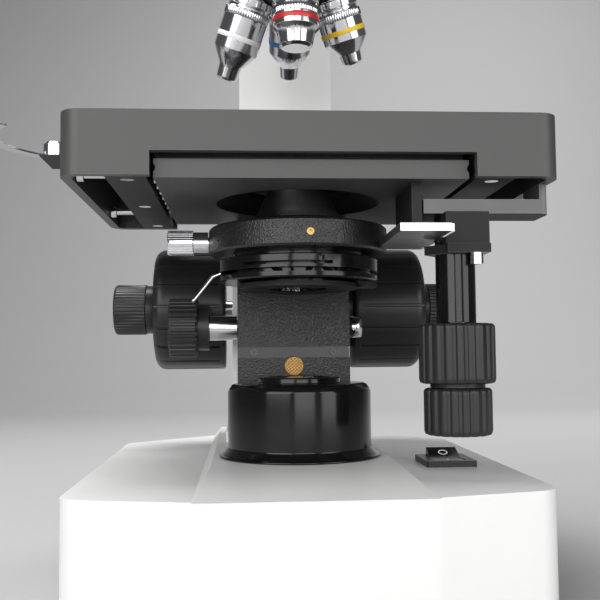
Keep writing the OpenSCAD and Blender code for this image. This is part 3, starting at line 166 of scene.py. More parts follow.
# %% Recipe for a finish
def finish(name, shade, tint, rough, grain=0.6, relief=0.02, cells=False, metallic=0.0,
           worn=None, wear=0.5, stretch=(1, 1, 1), drift=30.0, shine=0.5):
    material = bpy.data.materials.new(name)
    material.use_nodes = True
    nodes, link = material.node_tree.nodes, material.node_tree.links.new
    shader = nodes["Principled BSDF"]
    shader.inputs["Metallic"].default_value = metallic
    shader.inputs["Specular IOR Level"].default_value = shine
    place = nodes.new("ShaderNodeTexCoord")
    along = nodes.new("ShaderNodeMapping")
    along.inputs["Scale"].default_value = stretch
    link(place.outputs["Object"], along.inputs["Vector"])
    slow = nodes.new("ShaderNodeTexNoise")
    slow.inputs["Scale"].default_value = drift
    slow.inputs["Detail"].default_value = 4
    link(place.outputs["Object"], slow.inputs["Vector"])
    colour = nodes.new("ShaderNodeMix")
    colour.data_type = "RGBA"
    colour.inputs["A"].default_value = (*shade, 1)
    colour.inputs["B"].default_value = (*tint, 1)
    link(slow.outputs["Fac"], colour.inputs["Factor"])
    fine = nodes.new("ShaderNodeTexVoronoi" if cells else "ShaderNodeTexNoise")
    fine.inputs["Scale"].default_value = 1 / (grain * MM)
    link(along.outputs["Vector"], fine.inputs["Vector"])
    if cells:
        fine.feature = "SMOOTH_F1"
        fine.inputs["Smoothness"].default_value = 0.7
    height = fine.outputs["Distance"] if cells else fine.outputs["Fac"]
    lift = nodes.new("ShaderNodeBump")
    lift.inputs["Distance"].default_value = relief * MM
    link(height, lift.inputs["Height"])
    link(lift.outputs["Normal"], shader.inputs["Normal"])
    patchy = nodes.new("ShaderNodeMapRange")
    patchy.inputs["To Min"].default_value = max(rough - 0.06, 0.02)
    patchy.inputs["To Max"].default_value = rough + 0.08
    link(slow.outputs["Fac"], patchy.inputs["Value"])
    link(patchy.outputs["Result"], shader.inputs["Roughness"])
    last = colour.outputs["Result"]
    if worn:
        soft = nodes.new("ShaderNodeBevel")
        soft.samples = 4
        soft.inputs["Radius"].default_value = 0.6 * MM
        true = nodes.new("ShaderNodeNewGeometry")
        apart = nodes.new("ShaderNodeVectorMath")
        apart.operation = "DOT_PRODUCT"
        link(soft.outputs["Normal"], apart.inputs[0])
        link(true.outputs["Normal"], apart.inputs[1])
        corner = nodes.new("ShaderNodeMapRange")
        corner.inputs["From Min"].default_value = 0.99
        corner.inputs["From Max"].default_value = 0.80
        corner.inputs["To Max"].default_value = wear
        link(apart.outputs["Value"], corner.inputs["Value"])
        rubbed = nodes.new("ShaderNodeMath")
        rubbed.operation = "MULTIPLY"
        link(corner.outputs["Result"], rubbed.inputs[0])
        link(slow.outputs["Fac"], rubbed.inputs[1])
        edge = nodes.new("ShaderNodeMix")
        edge.data_type = "RGBA"
        edge.inputs["B"].default_value = (*worn, 1)
        link(rubbed.outputs["Value"], edge.inputs["Factor"])
        link(last, edge.inputs["A"])
        last = edge.outputs["Result"]
    link(last, shader.inputs["Base Color"])
    return material


# %% [markdown]
# The base, arm and head are cast aluminium under a white powder coat, which dries with a fine
# orange peel. The substage castings have a black crinkle paint, which shrinks into small wrinkles as
# it bakes. The stage is anodised, smooth and silky, and the collector housing is dipped gloss black.

# %% Paints
white_paint = finish("white_paint", (0.74, 0.74, 0.73), (0.80, 0.80, 0.79), 0.38, 0.7, 0.02,
                     worn=(0.70, 0.70, 0.69), wear=0.3)
crinkle_paint = finish("crinkle_paint", (0.009, 0.009, 0.009), (0.016, 0.016, 0.016), 0.30, 0.8, 0.24,
                       cells=True, worn=(0.05, 0.05, 0.05), shine=0.4)
satin_black = finish("satin_black", (0.012, 0.012, 0.012), (0.020, 0.020, 0.020), 0.55, 0.5, 0.012,
                     worn=(0.14, 0.14, 0.14), wear=0.6, shine=0.25)
stage_black = finish("stage_black", (0.046, 0.046, 0.045), (0.062, 0.062, 0.060), 0.44, 0.35, 0.012,
                     worn=(0.20, 0.20, 0.20), wear=0.6)
gloss_black = finish("gloss_black", (0.004, 0.004, 0.004), (0.007, 0.007, 0.007), 0.13, 3.0, 0.006,
                     worn=(0.03, 0.03, 0.03), shine=0.35)
brushed_black = finish("brushed_black", (0.060, 0.060, 0.061), (0.150, 0.150, 0.152), 0.34, 0.5, 0.012,
                       stretch=(0.04, 1, 1), worn=(0.35, 0.35, 0.35), wear=0.8)
moulded_black = finish("moulded_black", (0.014, 0.014, 0.015), (0.022, 0.022, 0.023), 0.34, 0.6, 0.014,
                       worn=(0.09, 0.09, 0.09), wear=0.4, shine=0.35)
mark_white = finish("mark_white", (0.75, 0.75, 0.74), (0.85, 0.85, 0.84), 0.45, 0.5, 0.005)
print("paints made:", [m.name for m in bpy.data.materials if "black" in m.name or "paint" in m.name])

# %% [markdown]
# Bare metal takes its look from the tool that cut it. Steel bars are drawn, so their grain runs
# along them; turned and plated pieces are smoother. Rubber is matt, and the ceramic lamp holder is
# chalky. A stretched noise makes the drawn grain.

# %% Metals, rubber, ceramic and board
drawn_steel = finish("drawn_steel", (0.50, 0.50, 0.51), (0.62, 0.62, 0.63), 0.28, 0.4, 0.008, metallic=1.0,
                     stretch=(1, 0.04, 1), worn=(0.75, 0.75, 0.76))
chrome = finish("chrome", (0.66, 0.66, 0.68), (0.74, 0.74, 0.76), 0.13, 0.8, 0.004, metallic=1.0,
                worn=(0.8, 0.8, 0.82))
brass = finish("brass", (0.40, 0.25, 0.09), (0.50, 0.33, 0.13), 0.42, 0.5, 0.008, metallic=1.0,
               worn=(0.62, 0.45, 0.22))
rubber = finish("rubber", (0.018, 0.018, 0.018), (0.030, 0.030, 0.030), 0.75, 0.4, 0.03)
ceramic = finish("ceramic", (0.66, 0.62, 0.54), (0.76, 0.72, 0.65), 0.62, 0.5, 0.02)
board_green = finish("board_green", (0.02, 0.10, 0.045), (0.03, 0.15, 0.07), 0.4, 1.2, 0.02)
screw_black = finish("screw_black", (0.03, 0.03, 0.03), (0.05, 0.05, 0.05), 0.3, 0.4, 0.005, metallic=1.0,
                     worn=(0.3, 0.3, 0.3))
ring_colours = {"objective_4x": (0.50, 0.02, 0.02), "objective_10x": (0.75, 0.50, 0.02),
                "objective_40x": (0.05, 0.25, 0.60), "objective_100x": (0.75, 0.75, 0.73)}
ring_paint = {node: finish(node + "_ring_paint", c, tuple(v * 1.12 for v in c), 0.35, 0.6, 0.004)
              for node, c in ring_colours.items()}
print("metals made:", drawn_steel.name, chrome.name, brass.name)

# %% [markdown]
# Lenses are glass with a thin coating, which tints their reflections violet or green. A Fresnel
# factor adds the coating's colour only where the surface is seen at a slant, as a real film does.

# %% Glass
def coated_glass(name, tint):
    material = bpy.data.materials.new(name)
    material.use_nodes = True
    nodes, link = material.node_tree.nodes, material.node_tree.links.new
    shader = nodes["Principled BSDF"]
    shader.inputs["Transmission Weight"].default_value = 1.0
    shader.inputs["Roughness"].default_value = 0.03
    shader.inputs["IOR"].default_value = 1.52
    slant = nodes.new("ShaderNodeFresnel")
    smear = nodes.new("ShaderNodeTexNoise")
    place = nodes.new("ShaderNodeTexCoord")
    smear.inputs["Scale"].default_value = 60
    link(place.outputs["Object"], smear.inputs["Vector"])
    mixed = nodes.new("ShaderNodeMix")
    mixed.data_type = "RGBA"
    mixed.inputs["A"].default_value = (0.93, 0.95, 0.96, 1)
    mixed.inputs["B"].default_value = (*tint, 1)
    link(slant.outputs["Fac"], mixed.inputs["Factor"])
    link(mixed.outputs["Result"], shader.inputs["Base Color"])
    film = nodes.new("ShaderNodeBump")
    film.inputs["Distance"].default_value = 0.004 * MM
    link(smear.outputs["Fac"], film.inputs["Height"])
    link(film.outputs["Normal"], shader.inputs["Normal"])
    return material


lens_glass = coated_glass("lens_glass", (0.55, 0.45, 0.85))
field_glass = coated_glass("field_glass", (0.55, 0.75, 0.70))
print("glass made:", lens_glass.name, field_glass.name)

# %% [markdown]
# Two helpers put a finished mesh into the scene. The first names the piece, gives it its finish,
# hangs it on the body it rides on and hides the CAD parts it stands for. The second works on a CAD part whose
# shape is right but whose edges are knife sharp: it copies the part, merges its loose triangles back
# into whole faces, bevels the corners that turn by more than a chosen angle, and hands it over.
# Zones give a second finish to the faces inside them, for a steel screw in a black bracket.

# %% Helpers that add a piece
def add_piece(name, bm, finishes, body, stands_for=(), smooth=38):
    mesh = bpy.data.meshes.new(name)
    bm.to_mesh(mesh)
    bm.free()
    for material in finishes:
        mesh.materials.append(material)
    mesh.shade_smooth()
    mesh.set_sharp_from_angle(angle=math.radians(smooth))
    piece = bpy.data.objects.new(name, mesh)
    bpy.context.scene.collection.objects.link(piece)
    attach(piece, body)
    if stands_for:
        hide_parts(*stands_for)
    return piece


def soften(node, paint, width=0.4, zones=(), where=None, segments=3, angle=32):
    bm = bmesh.new()
    bm.from_mesh(frame["nodes"][node].data)
    bm.transform(TO_DRAWING)
    bmesh.ops.remove_doubles(bm, verts=bm.verts, dist=0.002)
    bmesh.ops.dissolve_limit(bm, angle_limit=math.radians(0.6), verts=bm.verts, edges=bm.edges)
    bm.normal_update()
    sharp = [e for e in bm.edges if len(e.link_faces) == 2 and e.calc_face_angle(0) > math.radians(angle)
             and (where is None or all(where(v.co) for v in e.verts))]
    bmesh.ops.bevel(bm, geom=sharp, offset=width, affect="EDGES", segments=segments, profile=0.5,
                    material=-1, clamp_overlap=True)
    for number, (inside, material) in enumerate(zones, 1):
        for face in bm.faces:
            if all(inside(v.co) for v in face.verts):
                face.material_index = number
    bm.transform(TO_FRAME)
    count = len(bm.faces)
    finishes = [paint] + [material for _, material in zones]
    finished = add_piece(node + "_finished", bm, finishes, BODY_OF[node], [node])
    finished.modifiers.new("flat_faces", "WEIGHTED_NORMAL").keep_sharp = True
    print(f"{node}: {len(sharp)} corners rounded, {count} faces")


def paint(material, *nodes):
    for node in nodes:
        frame["nodes"][node].data.materials.clear()
        frame["nodes"][node].data.materials.append(material)


# %% [markdown]
# The base is one thick casting whose outer corners are rounded by the mould and by the coat of
# paint over them. Only its outer edges are bevelled: the inside of the shell never shows. The steel
# cover, the circuit board and the mains inlet get a finer bevel. The feet, screws, bolts and lamp
# keep their exact CAD shapes.

# %% Base
PLATEAU = 6
shell_low, shell_high = drawing_box("base_shell")
shoulder = shell_high.z - PLATEAU
soften("base_shell", white_paint, 1.2, segments=4,
       where=lambda p: p.z > shoulder - 1 or abs(p.x) > shell_high.x - 1)
soften("bottom_cover", drawn_steel, 0.3)
paint(rubber, "rubber_feet")
paint(chrome, "cover_screws")
paint(drawn_steel, "arm_bolts", "dimmer_pot")
paint(ceramic, "lamp_socket")
paint(lens_glass, "lamp")
board_low, _ = drawing_box("power_board")
soften("power_board", board_green, 0.3, zones=[(lambda p: p.z > board_low.z + 8, moulded_black)])
inlet_low, inlet_high = drawing_box("mains_inlet")
inlet_middle = (inlet_low.z + inlet_high.z) / 2


def on_inlet_pins(p):
    return abs(p.z - inlet_middle) < 2.1 and abs(p.x) < 8.2 and p.y > inlet_low.y + 6


soften("mains_inlet", moulded_black, 0.3, zones=[(on_inlet_pins, chrome)])

# %% [markdown]
# The arm is the second casting. A founder gives such a post generous round edges, so that the
# hand that carries it is comfortable. The head on top of it is softer still.

# %% Arm and head
ARM_SIDE, COLUMN_FRONT, BEAM_FOOT, COLUMN_FOOT = 29, 111, 330, 69
HEAD_SIDE, HEAD_SHOULDER = 39, 420


def on_arm_outline(p):
    return abs(p.x) > ARM_SIDE and p.z > COLUMN_FOOT and (p.y > COLUMN_FRONT or p.z > BEAM_FOOT)


soften("arm", white_paint, 3.0, where=on_arm_outline, segments=4)
soften("head_housing", white_paint, 5.0, segments=5,
       where=lambda p: abs(p.x) > HEAD_SIDE or p.z > HEAD_SHOULDER)
soften("eye_tube_left", white_paint, 1.0)
soften("eye_tube_right", white_paint, 1.0)

# %% [markdown]
# The stage is two anodised plates. The upper one is a shallow tray turned upside down, and its
# edges carry a small machined chamfer that catches the light as a thin bright line.

# %% Stage
lower_front, _ = drawing_box("lower_plate")
soften("upper_plate", stage_black, 1.0)
# The lower plate's front face keeps the anodised stage colour. Its underside, back and sides get the darker satin
# black as painted shade.
soften("lower_plate", stage_black, 0.7, zones=[(lambda p: p.y > lower_front.y + 0.6, satin_black)])
soften("rail_strips", satin_black, 0.5)
soften("rail_screws", chrome, 0.2)
paint(drawn_steel, "guide_balls")
rack_low, _ = drawing_box("y_rack")
# The upper part of the rack, its hanger, is painted satin black as painted shade. It reads as the shadow it stands
# in under the stage.
soften("y_rack", drawn_steel, 0.12, zones=[(lambda p: p.z > rack_low.z + 3.6, satin_black)])
holder_low, _ = drawing_box("slide_holder")
CLAMP_Y, CLAMP_R = 24, 5.5


def on_clamp_screw(p):
    return math.hypot(p.x - holder_low.x - 6, p.y - CLAMP_Y) < CLAMP_R and p.z > holder_low.z + 0.95


soften("slide_holder", satin_black, 0.4, zones=[(on_clamp_screw, chrome)])
soften("spring_finger", chrome, 0.25)

# %% [markdown]
# The substage hangs under the stage: a crinkled bracket with a brass plug in its front, a ring that
# clamps the condenser, and the condenser with its iris lever. Some CAD parts hold a bright screw or
# lever in a black body, so a zone picks out those faces by where they lie.

# %% Substage
stop_low, stop_high = drawing_box("brass_stop")
# The faces of the notch just above the brass plug get the near-black gloss paint. This is painted shade, for the
# shadow that falls deep inside that notch.
notch_shade_low, notch_shade_high = stop_high.z - 0.9, stop_high.z + 5.6
soften("stage_bracket", crinkle_paint, 0.6,
       zones=[(lambda p: notch_shade_low < p.z < notch_shade_high and p.y < stop_low.y + 5, gloss_black)])
_, ring_high = drawing_box("condenser_ring")
RING_FRONT, RING_SCREW_X, RING_SCREW_Z, RING_SCREW_R = -41, 3, 168.3, 1.8


def on_ring_screw(p):
    return p.y < RING_FRONT and math.hypot(p.x - RING_SCREW_X, p.z - RING_SCREW_Z) < RING_SCREW_R


soften("condenser_ring", crinkle_paint, 0.5, zones=[(on_ring_screw, brass)])
soften("condenser_body", gloss_black, 0.35, zones=[(lambda p: p.z > ring_high.z + 2.5, satin_black)])
soften("condenser_rack", brass, 0.08)
paint(lens_glass, "condenser_lenses")
soften("centring_screw", chrome, 0.12)
soften("iris_ring", gloss_black, 0.15, zones=[(lambda p: math.hypot(p.x, p.y) > 40.6, chrome)])
soften("filter_carrier", satin_black, 0.4, zones=[(lambda p: math.hypot(p.x, p.y) < 16.12, field_glass)])
soften("collector_housing", gloss_black, 0.9)
paint(field_glass, "field_lens")

# %% [markdown]
# The nosepiece turns under the head and carries the objectives, whose plated barrels get a fine
# bevel. The eyepieces end in rubber cups.

# %% Nosepiece
soften("nosepiece_mount", satin_black, 0.5)
soften("nosepiece_turret", satin_black, 0.3)
for node in ring_colours:
    soften(node, chrome, 0.25)
soften("head_screw", chrome, 0.15)
soften("eyepiece_left", rubber, 0.4)
soften("eyepiece_right", rubber, 0.4)

# %% [markdown]
# The focus works sit inside the arm: a slide, a rack, two shafts one inside the other, and the brass
# bushes they turn in. They show only when the instrument is seen from beside or below.

# %% Focus
paint(brass, "focus_bushes")
paint(drawn_steel, "coarse_tube", "fine_shaft", "focus_rack")
soften("focus_slide", drawn_steel, 0.4)
soften("tension_collar", moulded_black, 0.2)

# %% [markdown]
# A bracket under the stage carries the shafts of its two drive knobs. Its top is brushed, its
# underside is satin, and a plated cap screw closes it from below.

# %% Drive
_, hanger_high = drawing_box("knob_bracket")
CAP_X, CAP_Y, CAP_R = 75, -60.8, 3.1


def from_cap(p):
    return math.hypot(p.x - CAP_X, p.y - CAP_Y)


soften("knob_bracket", brushed_black, 0.5,
       zones=[(lambda p: p.z < hanger_high.z - 6.5 and from_cap(p) > CAP_R, satin_black),
              (lambda p: p.z < hanger_high.z - 20 and from_cap(p) < CAP_R, chrome)])
soften("knob_sleeve", gloss_black, 0.3)
soften("switch_bezel", moulded_black, 0.5)
soften("switch_rocker", gloss_black, 0.6)


# %% [markdown]
# Every knob is turned on a lathe, then cut along its length so that fingers grip it. The lathe work
# is a half outline spun about its axis. The cut is a table for one flute: how far round it a line of
# points stands, and how deep it is pressed in. Moving the lines of points that the spin already made
# keeps the knob one clean closed mesh.

# %% Turning and fluting
def turned(outline, steps):
    bm = bmesh.new()
    points = [bm.verts.new((r, 0, z)) for r, z in outline]
    edges = [bm.edges.new(pair) for pair in zip(points, points[1:])]
    bmesh.ops.spin(bm, geom=points + edges, cent=(0, 0, 0), axis=(0, 0, 1), angle=math.tau, steps=steps,
                   use_merge=True, use_duplicate=False)
    bmesh.ops.remove_doubles(bm, verts=bm.verts, dist=0.0005)
    bmesh.ops.recalc_face_normals(bm, faces=bm.faces)
    return bm


def flute(bm, count, table, depth_at):
    step = math.tau / (count * len(table))
    for v in bm.verts:
        radius = math.hypot(v.co.x, v.co.y)
        if radius < 0.01:
            continue
        number, line = divmod(round(math.atan2(v.co.y, v.co.x) % math.tau / step), len(table))
        share, deep = table[line]
        angle = (number + share) * math.tau / count
        radius -= deep * depth_at(radius, v.co.z)
        v.co.x, v.co.y = radius * math.cos(angle), radius * math.sin(angle)


def stand(bm, centre, toward):
    turn = Vector(toward).to_track_quat("Z", "Y").to_matrix().to_4x4()
    bm.transform(TO_FRAME @ Matrix.Translation(centre) @ turn)


def rounded_end(radius, height, fillet, steps=5):
    return [(radius - fillet + fillet * math.cos(a), height - fillet + fillet * math.sin(a))
            for a in [math.pi / 2 * i / steps for i in range(steps + 1)]]


THIN_GROOVE = [(0, 1), (0.045, 1), (0.07, 0.12), (0.16, 0.05), (0.32, 0), (0.5, 0), (0.68, 0), (0.84, 0.05),
               (0.93, 0.12), (0.955, 1)]
WIDE_FLUTE = [(0, 1), (0.12, 0.95), (0.22, 0.3), (0.32, 0.05), (0.5, 0), (0.68, 0.05), (0.78, 0.3),
              (0.88, 0.95)]
FINE_RIB = [(0, 1), (0.2, 0.9), (0.34, 0.1), (0.5, 0), (0.66, 0.1), (0.8, 0.9)]
print("flute tables:", len(THIN_GROOVE), len(WIDE_FLUTE), len(FINE_RIB))

# %% Focus knobs
COARSE_FLUTES, FINE_RIBS = 18, 45
for side, hand in [(-1, "left"), (1, "right")]:
    node, fine_node = "coarse_knob_" + hand, "fine_knob_" + hand
    low, high = drawing_box(node)
    radius = (high.z - low.z) / 2
    long = high.x - low.x
    inner = low.x if side > 0 else high.x
    fine_low, fine_high = drawing_box(fine_node)
    fine_r = (fine_high.z - fine_low.z) / 2
    outline = ([(5.3, 0), (radius - 1.5, 0), (radius - 0.4, 0.4), (radius, 1.5), (radius, 3), (radius, 3.3)]
               + [(radius, long - 9), (radius, long - 7.2)] + rounded_end(radius, long, 6)
               + [(fine_r + 6.5, long), (fine_r + 6, long - 0.2), (fine_r + 4.2, long - 1.5)]
               + [(5.3, long - 1.5), (5.3, 0)])
    knob = turned(outline, COARSE_FLUTES * len(THIN_GROOVE))
    flute(knob, COARSE_FLUTES, THIN_GROOVE,
          lambda r, z: 1.2 if r > radius - 3.4 and 3.1 < z < long - 1.2 else 0.0)
    stand(knob, (inner, PIVOT["coarse_knobs"].y, PIVOT["coarse_knobs"].z), (side, 0, 0))
    add_piece(node + "_finished", knob, [moulded_black], BODY_OF[node], [node])

    long = fine_high.x - fine_low.x
    inner = fine_low.x if side > 0 else fine_high.x
    outline = ([(2.6, 0), (fine_r - 0.8, 0), (fine_r - 0.6, 0.3), (fine_r - 0.6, 7), (fine_r, 7.6)]
               + [(fine_r, 8.4)] + rounded_end(fine_r, long, 2)
               + [(fine_r - 5.5, long), (fine_r - 6.2, long - 0.6), (fine_r - 7, long - 1), (0, long - 1)])
    knob = turned(outline, FINE_RIBS * len(FINE_RIB))
    flute(knob, FINE_RIBS, FINE_RIB, lambda r, z: 0.5 if r > fine_r - 1.4 and z > 8 else 0.0)
    stand(knob, (inner, PIVOT["fine_knobs"].y, PIVOT["fine_knobs"].z), (side, 0, 0))
    add_piece(fine_node + "_finished", knob, [moulded_black], BODY_OF[fine_node],
              [fine_node])
print("coarse knob radius", round(radius, 1), "fine knob radius", round(fine_r, 1))

# %% [markdown]
# The two stage knobs hang one under the other on shafts that run one inside the other. Their wide
# flutes have rolled edges. The long shaft and the little pinion of the upper knob are the CAD part
# itself, cut free of its plain knob with a plane, so the teeth stay exact.

# %% Stage drive knobs
def shaft_of(node, name, paint, cuts):
    bm = bmesh.new()
    bm.from_mesh(frame["nodes"][node].data)
    bm.transform(TO_DRAWING)
    bmesh.ops.remove_doubles(bm, verts=bm.verts, dist=0.002)
    for place, away in cuts:
        bmesh.ops.bisect_plane(bm, geom=list(bm.verts) + list(bm.edges) + list(bm.faces), plane_co=place,
                               plane_no=away, clear_outer=True)
        bmesh.ops.holes_fill(bm, edges=[e for e in bm.edges if e.is_boundary])
    bm.transform(TO_FRAME)
    return add_piece(name, bm, [paint], BODY_OF[node])


def drive_knob(node, radius, low, high, bore, count, collar=0.0):
    bevel = 1.8
    neck = [(bore, -collar), (12.2, -collar), (12.2, 0)] if collar else [(bore, 0)]
    outline = (neck + [(radius - bevel, 0), (radius - 0.5, 0.5), (radius, bevel), (radius, bevel + 0.6)]
               + [(radius, high - low - bevel - 0.6)] + rounded_end(radius, high - low, bevel)
               + [(bore, high - low), (bore, -collar)])
    knob = turned(outline, count * len(WIDE_FLUTE))
    flute(knob, count, WIDE_FLUTE, lambda r, z: 0.95 if r > radius - 2 else 0.0)
    centre = PIVOT["y_knob_turn"]
    stand(knob, (centre.x, centre.y, low), (0, 0, 1))
    return add_piece(node + "_finished", knob, [moulded_black], BODY_OF[node], [node])


Y_KNOB_HIGH, X_KNOB_HIGH, Y_COLLAR = 26.6, 20.8, 1.7
x_low, x_high = drawing_box("x_knob")
y_low, y_high = drawing_box("y_knob")
drive_knob("x_knob", (x_high.x - x_low.x) / 2, x_low.z, x_low.z + X_KNOB_HIGH, 2.9, 18)
drive_knob("y_knob", (y_high.x - y_low.x) / 2, y_low.z + Y_COLLAR, y_low.z + Y_COLLAR + Y_KNOB_HIGH, 5.9, 20,
           Y_COLLAR)
X_TOP, Y_TOP = x_low.z + X_KNOB_HIGH, y_low.z + Y_COLLAR + Y_KNOB_HIGH
shaft_of("x_knob", "x_knob_shaft", drawn_steel, [((0, 0, X_TOP + 0.005), (0, 0, -1))])
shaft_of("y_knob", "y_knob_shaft", drawn_steel, [((0, 0, Y_TOP + 0.005), (0, 0, -1))])
print("drive knobs at", [round(v, 1) for v in PIVOT["y_knob_turn"]])

# %% [markdown]
# The condenser's knob grips a steel shaft between a black collar and the bracket. The brightness
# knob on the base's side has a white pointer, pressed into its rim, so the user can see how far it
# is turned.

# %% Condenser and brightness knobs
low, high = drawing_box("condenser_knob")
radius = (high.z - low.z) / 2
CONDENSER_RIBS = 32
outline = ([(6.9, 0), (12.5, 0), (12.5, 6), (12.9, 6.2), (radius - 0.9, 6.2), (radius, 7.1), (radius, 7.6)]
           + [(radius, 20)] + rounded_end(radius, 21.9, 1.2) + [(8, 21.9), (7.4, 21.2), (0, 21.2)])
knob = turned(outline, CONDENSER_RIBS * len(FINE_RIB))
flute(knob, CONDENSER_RIBS, FINE_RIB, lambda r, z: 0.7 if r > radius - 1.4 and z > 7 else 0.0)
stand(knob, (low.x + 21.9, PIVOT["condenser_knob_turn"].y, PIVOT["condenser_knob_turn"].z), (-1, 0, 0))
add_piece("condenser_knob_finished", knob, [moulded_black], BODY_OF["condenser_knob"],
          ["condenser_knob"])
shaft_of("condenser_knob", "condenser_shaft", chrome, [((low.x + 22.2, 0, 0), (-1, 0, 0))])

low, high = drawing_box("brightness_knob")
radius = (high.z - low.z) / 2
DIAL_RIBS = 24
outline = ([(0, 0), (radius - 0.8, 0), (radius, 0.8), (radius, 1.4), (radius, 9)]
           + rounded_end(radius, 11, 1.4) + [(radius - 3, 11), (radius - 3.6, 10.5), (0, 10.5)])
knob = turned(outline, DIAL_RIBS * len(FINE_RIB))
flute(knob, DIAL_RIBS, FINE_RIB, lambda r, z: 0.7 if r > radius - 1.2 and z > 1 else 0.0)
stand(knob, (high.x, PIVOT["brightness_turn"].y, PIVOT["brightness_turn"].z), (-1, 0, 0))
add_piece("brightness_knob_finished", knob, [moulded_black], "dial", ["brightness_knob"])
pointer = bmesh.new()
bmesh.ops.create_cube(pointer, size=1)
bmesh.ops.scale(pointer, vec=(0.4, 1.0, 5.6), verts=pointer.verts)
bmesh.ops.bevel(pointer, geom=list(pointer.edges), offset=0.15, affect="EDGES", segments=2, profile=0.5,
                material=-1)
pointer.transform(TO_FRAME @ Matrix.Translation((low.x + 0.45, PIVOT["brightness_turn"].y,
                                                 PIVOT["brightness_turn"].z + 4.2)))
add_piece("brightness_pointer", pointer, [mark_white], "dial")
print("condenser and brightness knobs made")

# %% [markdown]
# The rocker carries the two signs that every mains switch has: a ring for off on the raised half and
# a bar for on in front. Each is a thin print that lies on its own half of the rocker, which leans
# both ways from the middle.

# %% Switch marks
rocker_lean = math.radians(12)
half_lean = math.atan2(2.1, 10.9)


def on_rocker(bm, side):
    hinge = Matrix.Translation(PIVOT["rocker_press"]) @ Matrix.Rotation(rocker_lean, 4, "X")
    face = Matrix.Translation((0, side * 5.6, 3.26)) @ Matrix.Rotation(side * half_lean, 4, "X")
    bm.transform(TO_FRAME @ hinge @ face)


off_ring = turned([(1.75, -0.1), (2.45, -0.1), (2.45, 0.08), (1.75, 0.08), (1.75, -0.1)], 48)
on_rocker(off_ring, 1)
add_piece("switch_off_mark", off_ring, [mark_white], "rocker")
on_bar = bmesh.new()
bmesh.ops.create_cube(on_bar, size=1)
bmesh.ops.scale(on_bar, vec=(0.6, 3.6, 0.18), verts=on_bar.verts)
bmesh.ops.bevel(on_bar, geom=list(on_bar.edges), offset=0.04, affect="EDGES", segments=2, profile=0.5,
                material=-1)
on_rocker(on_bar, -1)
add_piece("switch_on_mark", on_bar, [mark_white], "rocker")
print("switch marks lie at", [round(v, 1) for v in PIVOT["rocker_press"]])

# %% [markdown]
# Small screws hold the guides inside the substage bracket. Each is a round head with a round recess:
# a disc is pulled up into a head, its top face is inset to leave a wall, and the middle is pushed
# down. The real recess has six flats, too small to tell apart here.

# %% Bracket screws
def socket_screw(name, centre, toward, radius, paint, body):
    bm = bmesh.new()
    bmesh.ops.create_circle(bm, cap_ends=True, radius=radius, segments=24)
    top = bm.faces[:]
    side = bmesh.ops.extrude_face_region(bm, geom=top)["geom"]
    raised = [v for v in side if isinstance(v, bmesh.types.BMVert)]
    bmesh.ops.translate(bm, vec=(0, 0, radius * 0.5), verts=raised)
    bm.normal_update()
    cap = [f for f in bm.faces if f.normal.z > 0.9 and f.calc_center_median().z > radius * 0.4]
    bmesh.ops.inset_region(bm, faces=cap, thickness=radius * 0.42, depth=0)
    bmesh.ops.inset_region(bm, faces=cap, thickness=0.02, depth=-radius * 0.35)
    bmesh.ops.recalc_face_normals(bm, faces=bm.faces)
    stand(bm, centre, toward)
    add_piece(name, bm, [paint], body)


bracket_low, _ = drawing_box("stage_bracket")
for side in (-1, 1):
    socket_screw("bracket_screw_left" if side < 0 else "bracket_screw_right",
                 (side * 22, bracket_low.y + 3.8, (stop_low.z + stop_high.z) / 2 + 7.6), (0, -1, 0), 2.0,
                 screw_black, "stage")
print("bracket front at", round(bracket_low.y, 1))

# %% [markdown]
# A plug of brass closes the bracket's front. Its face is cut with two sets of slanting grooves, so
# that a pin spanner can bite. The face is a disc cut by planes, three cuts to a groove, and the
# middle line of each groove is pushed in.

# %% Brass plug
plug_r = (stop_high.x - stop_low.x) / 2
bm = bmesh.new()
bmesh.ops.create_circle(bm, cap_ends=True, radius=plug_r - 0.35, segments=48)
GROOVE_STEP, GROOVE_HALF = 1.3, 0.24
SLANTS = (math.radians(40), math.radians(130))
for slant in SLANTS:
    across = Vector((math.cos(slant), math.sin(slant), 0))
    for k in range(-3, 4):
        for shift in (-GROOVE_HALF, 0, GROOVE_HALF):
            bmesh.ops.bisect_plane(bm, geom=list(bm.verts) + list(bm.edges) + list(bm.faces), dist=1e-5,
                                   plane_co=across * (k * GROOVE_STEP + shift), plane_no=across)
for v in bm.verts:
    for slant in SLANTS:
        across = Vector((math.cos(slant), math.sin(slant), 0))
        line = v.co.dot(across) / GROOVE_STEP
        if abs(line - round(line)) < 0.01 and math.hypot(v.co.x, v.co.y) < plug_r - 0.45:
            v.co.z = -0.28
rim = bmesh.ops.extrude_edge_only(bm, edges=[e for e in bm.edges if e.is_boundary])["geom"]
rim = [v for v in rim if isinstance(v, bmesh.types.BMVert)]
for v in rim:
    v.co = Vector((v.co.x, v.co.y, 0)).normalized() * plug_r + Vector((0, 0, -0.35))
rim = bmesh.ops.extrude_edge_only(bm, edges=[e for e in bm.edges if e.is_boundary])["geom"]
rim = [v for v in rim if isinstance(v, bmesh.types.BMVert)]
bmesh.ops.translate(bm, vec=(0, 0, -2.0), verts=rim)
bmesh.ops.holes_fill(bm, edges=[e for e in bm.edges if e.is_boundary])
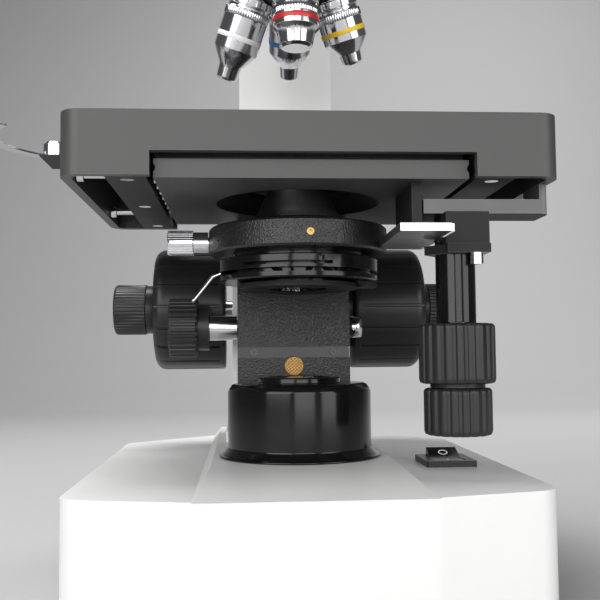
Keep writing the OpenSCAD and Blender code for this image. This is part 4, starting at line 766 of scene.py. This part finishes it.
bmesh.ops.recalc_face_normals(bm, faces=bm.faces)
stand(bm, (0, stop_low.y, (stop_low.z + stop_high.z) / 2), (0, -1, 0))
add_piece("brass_stop_finished", bm, [brass], "stage", ["brass_stop"], smooth=20)
print("brass plug radius", round(plug_r, 2))

# %% [markdown]
# Objectives carry a coloured band, the worldwide sign for how much each magnifies: red, yellow,
# light blue and white. A knurled grip runs round each barrel above it. Both are turned rings.

# %% Objective bands
nose_joint = next(joint for joint in frame["joints"] if joint["name"] == "nosepiece_turn")
NOSE_TILT = math.asin(nose_joint["axis"][1])
apex = PIVOT["nosepiece_turn"]
SHOULDER = 296.0
nose_length = apex.z - SHOULDER
LENGTHS = {"objective_4x": (0, 27.0), "objective_100x": (1, 44.7), "objective_40x": (2, 44.3),
           "objective_10x": (3, 35.0)}
GRIP_RIBS = 60
KNURL = [(0, 1), (0.3, 0.5), (0.5, 0), (0.7, 0.5)]
for node, (place_number, long) in LENGTHS.items():
    swing = (Matrix.Translation(apex) @ Matrix.Rotation(math.pi + NOSE_TILT, 4, "X")
             @ Matrix.Rotation(place_number * math.pi / 2, 4, "Z") @ Matrix.Rotation(-NOSE_TILT, 4, "X")
             @ Matrix.Translation((0, 0, nose_length)))
    band_at = 0.48 * long
    band = turned([(11.6, band_at - 1.3), (12.15, band_at - 1.3), (12.25, band_at - 1.1),
                   (12.25, band_at + 1.1), (12.15, band_at + 1.3), (11.6, band_at + 1.3),
                   (11.6, band_at - 1.3)], 64)
    band.transform(TO_FRAME @ swing)
    add_piece(node + "_band", band, [ring_paint[node]], "nosepiece")
    grip = turned([(11.6, 6.8), (12.2, 6.8), (12.35, 7.0), (12.35, 10.4), (12.2, 10.6), (11.6, 10.6),
                   (11.6, 6.8)], GRIP_RIBS * len(KNURL))
    flute(grip, GRIP_RIBS, KNURL, lambda r, z: 0.3 if r > 12.1 else 0.0)
    grip.transform(TO_FRAME @ swing)
    add_piece(node + "_grip", grip, [chrome], "nosepiece")
print("bands on", list(LENGTHS))
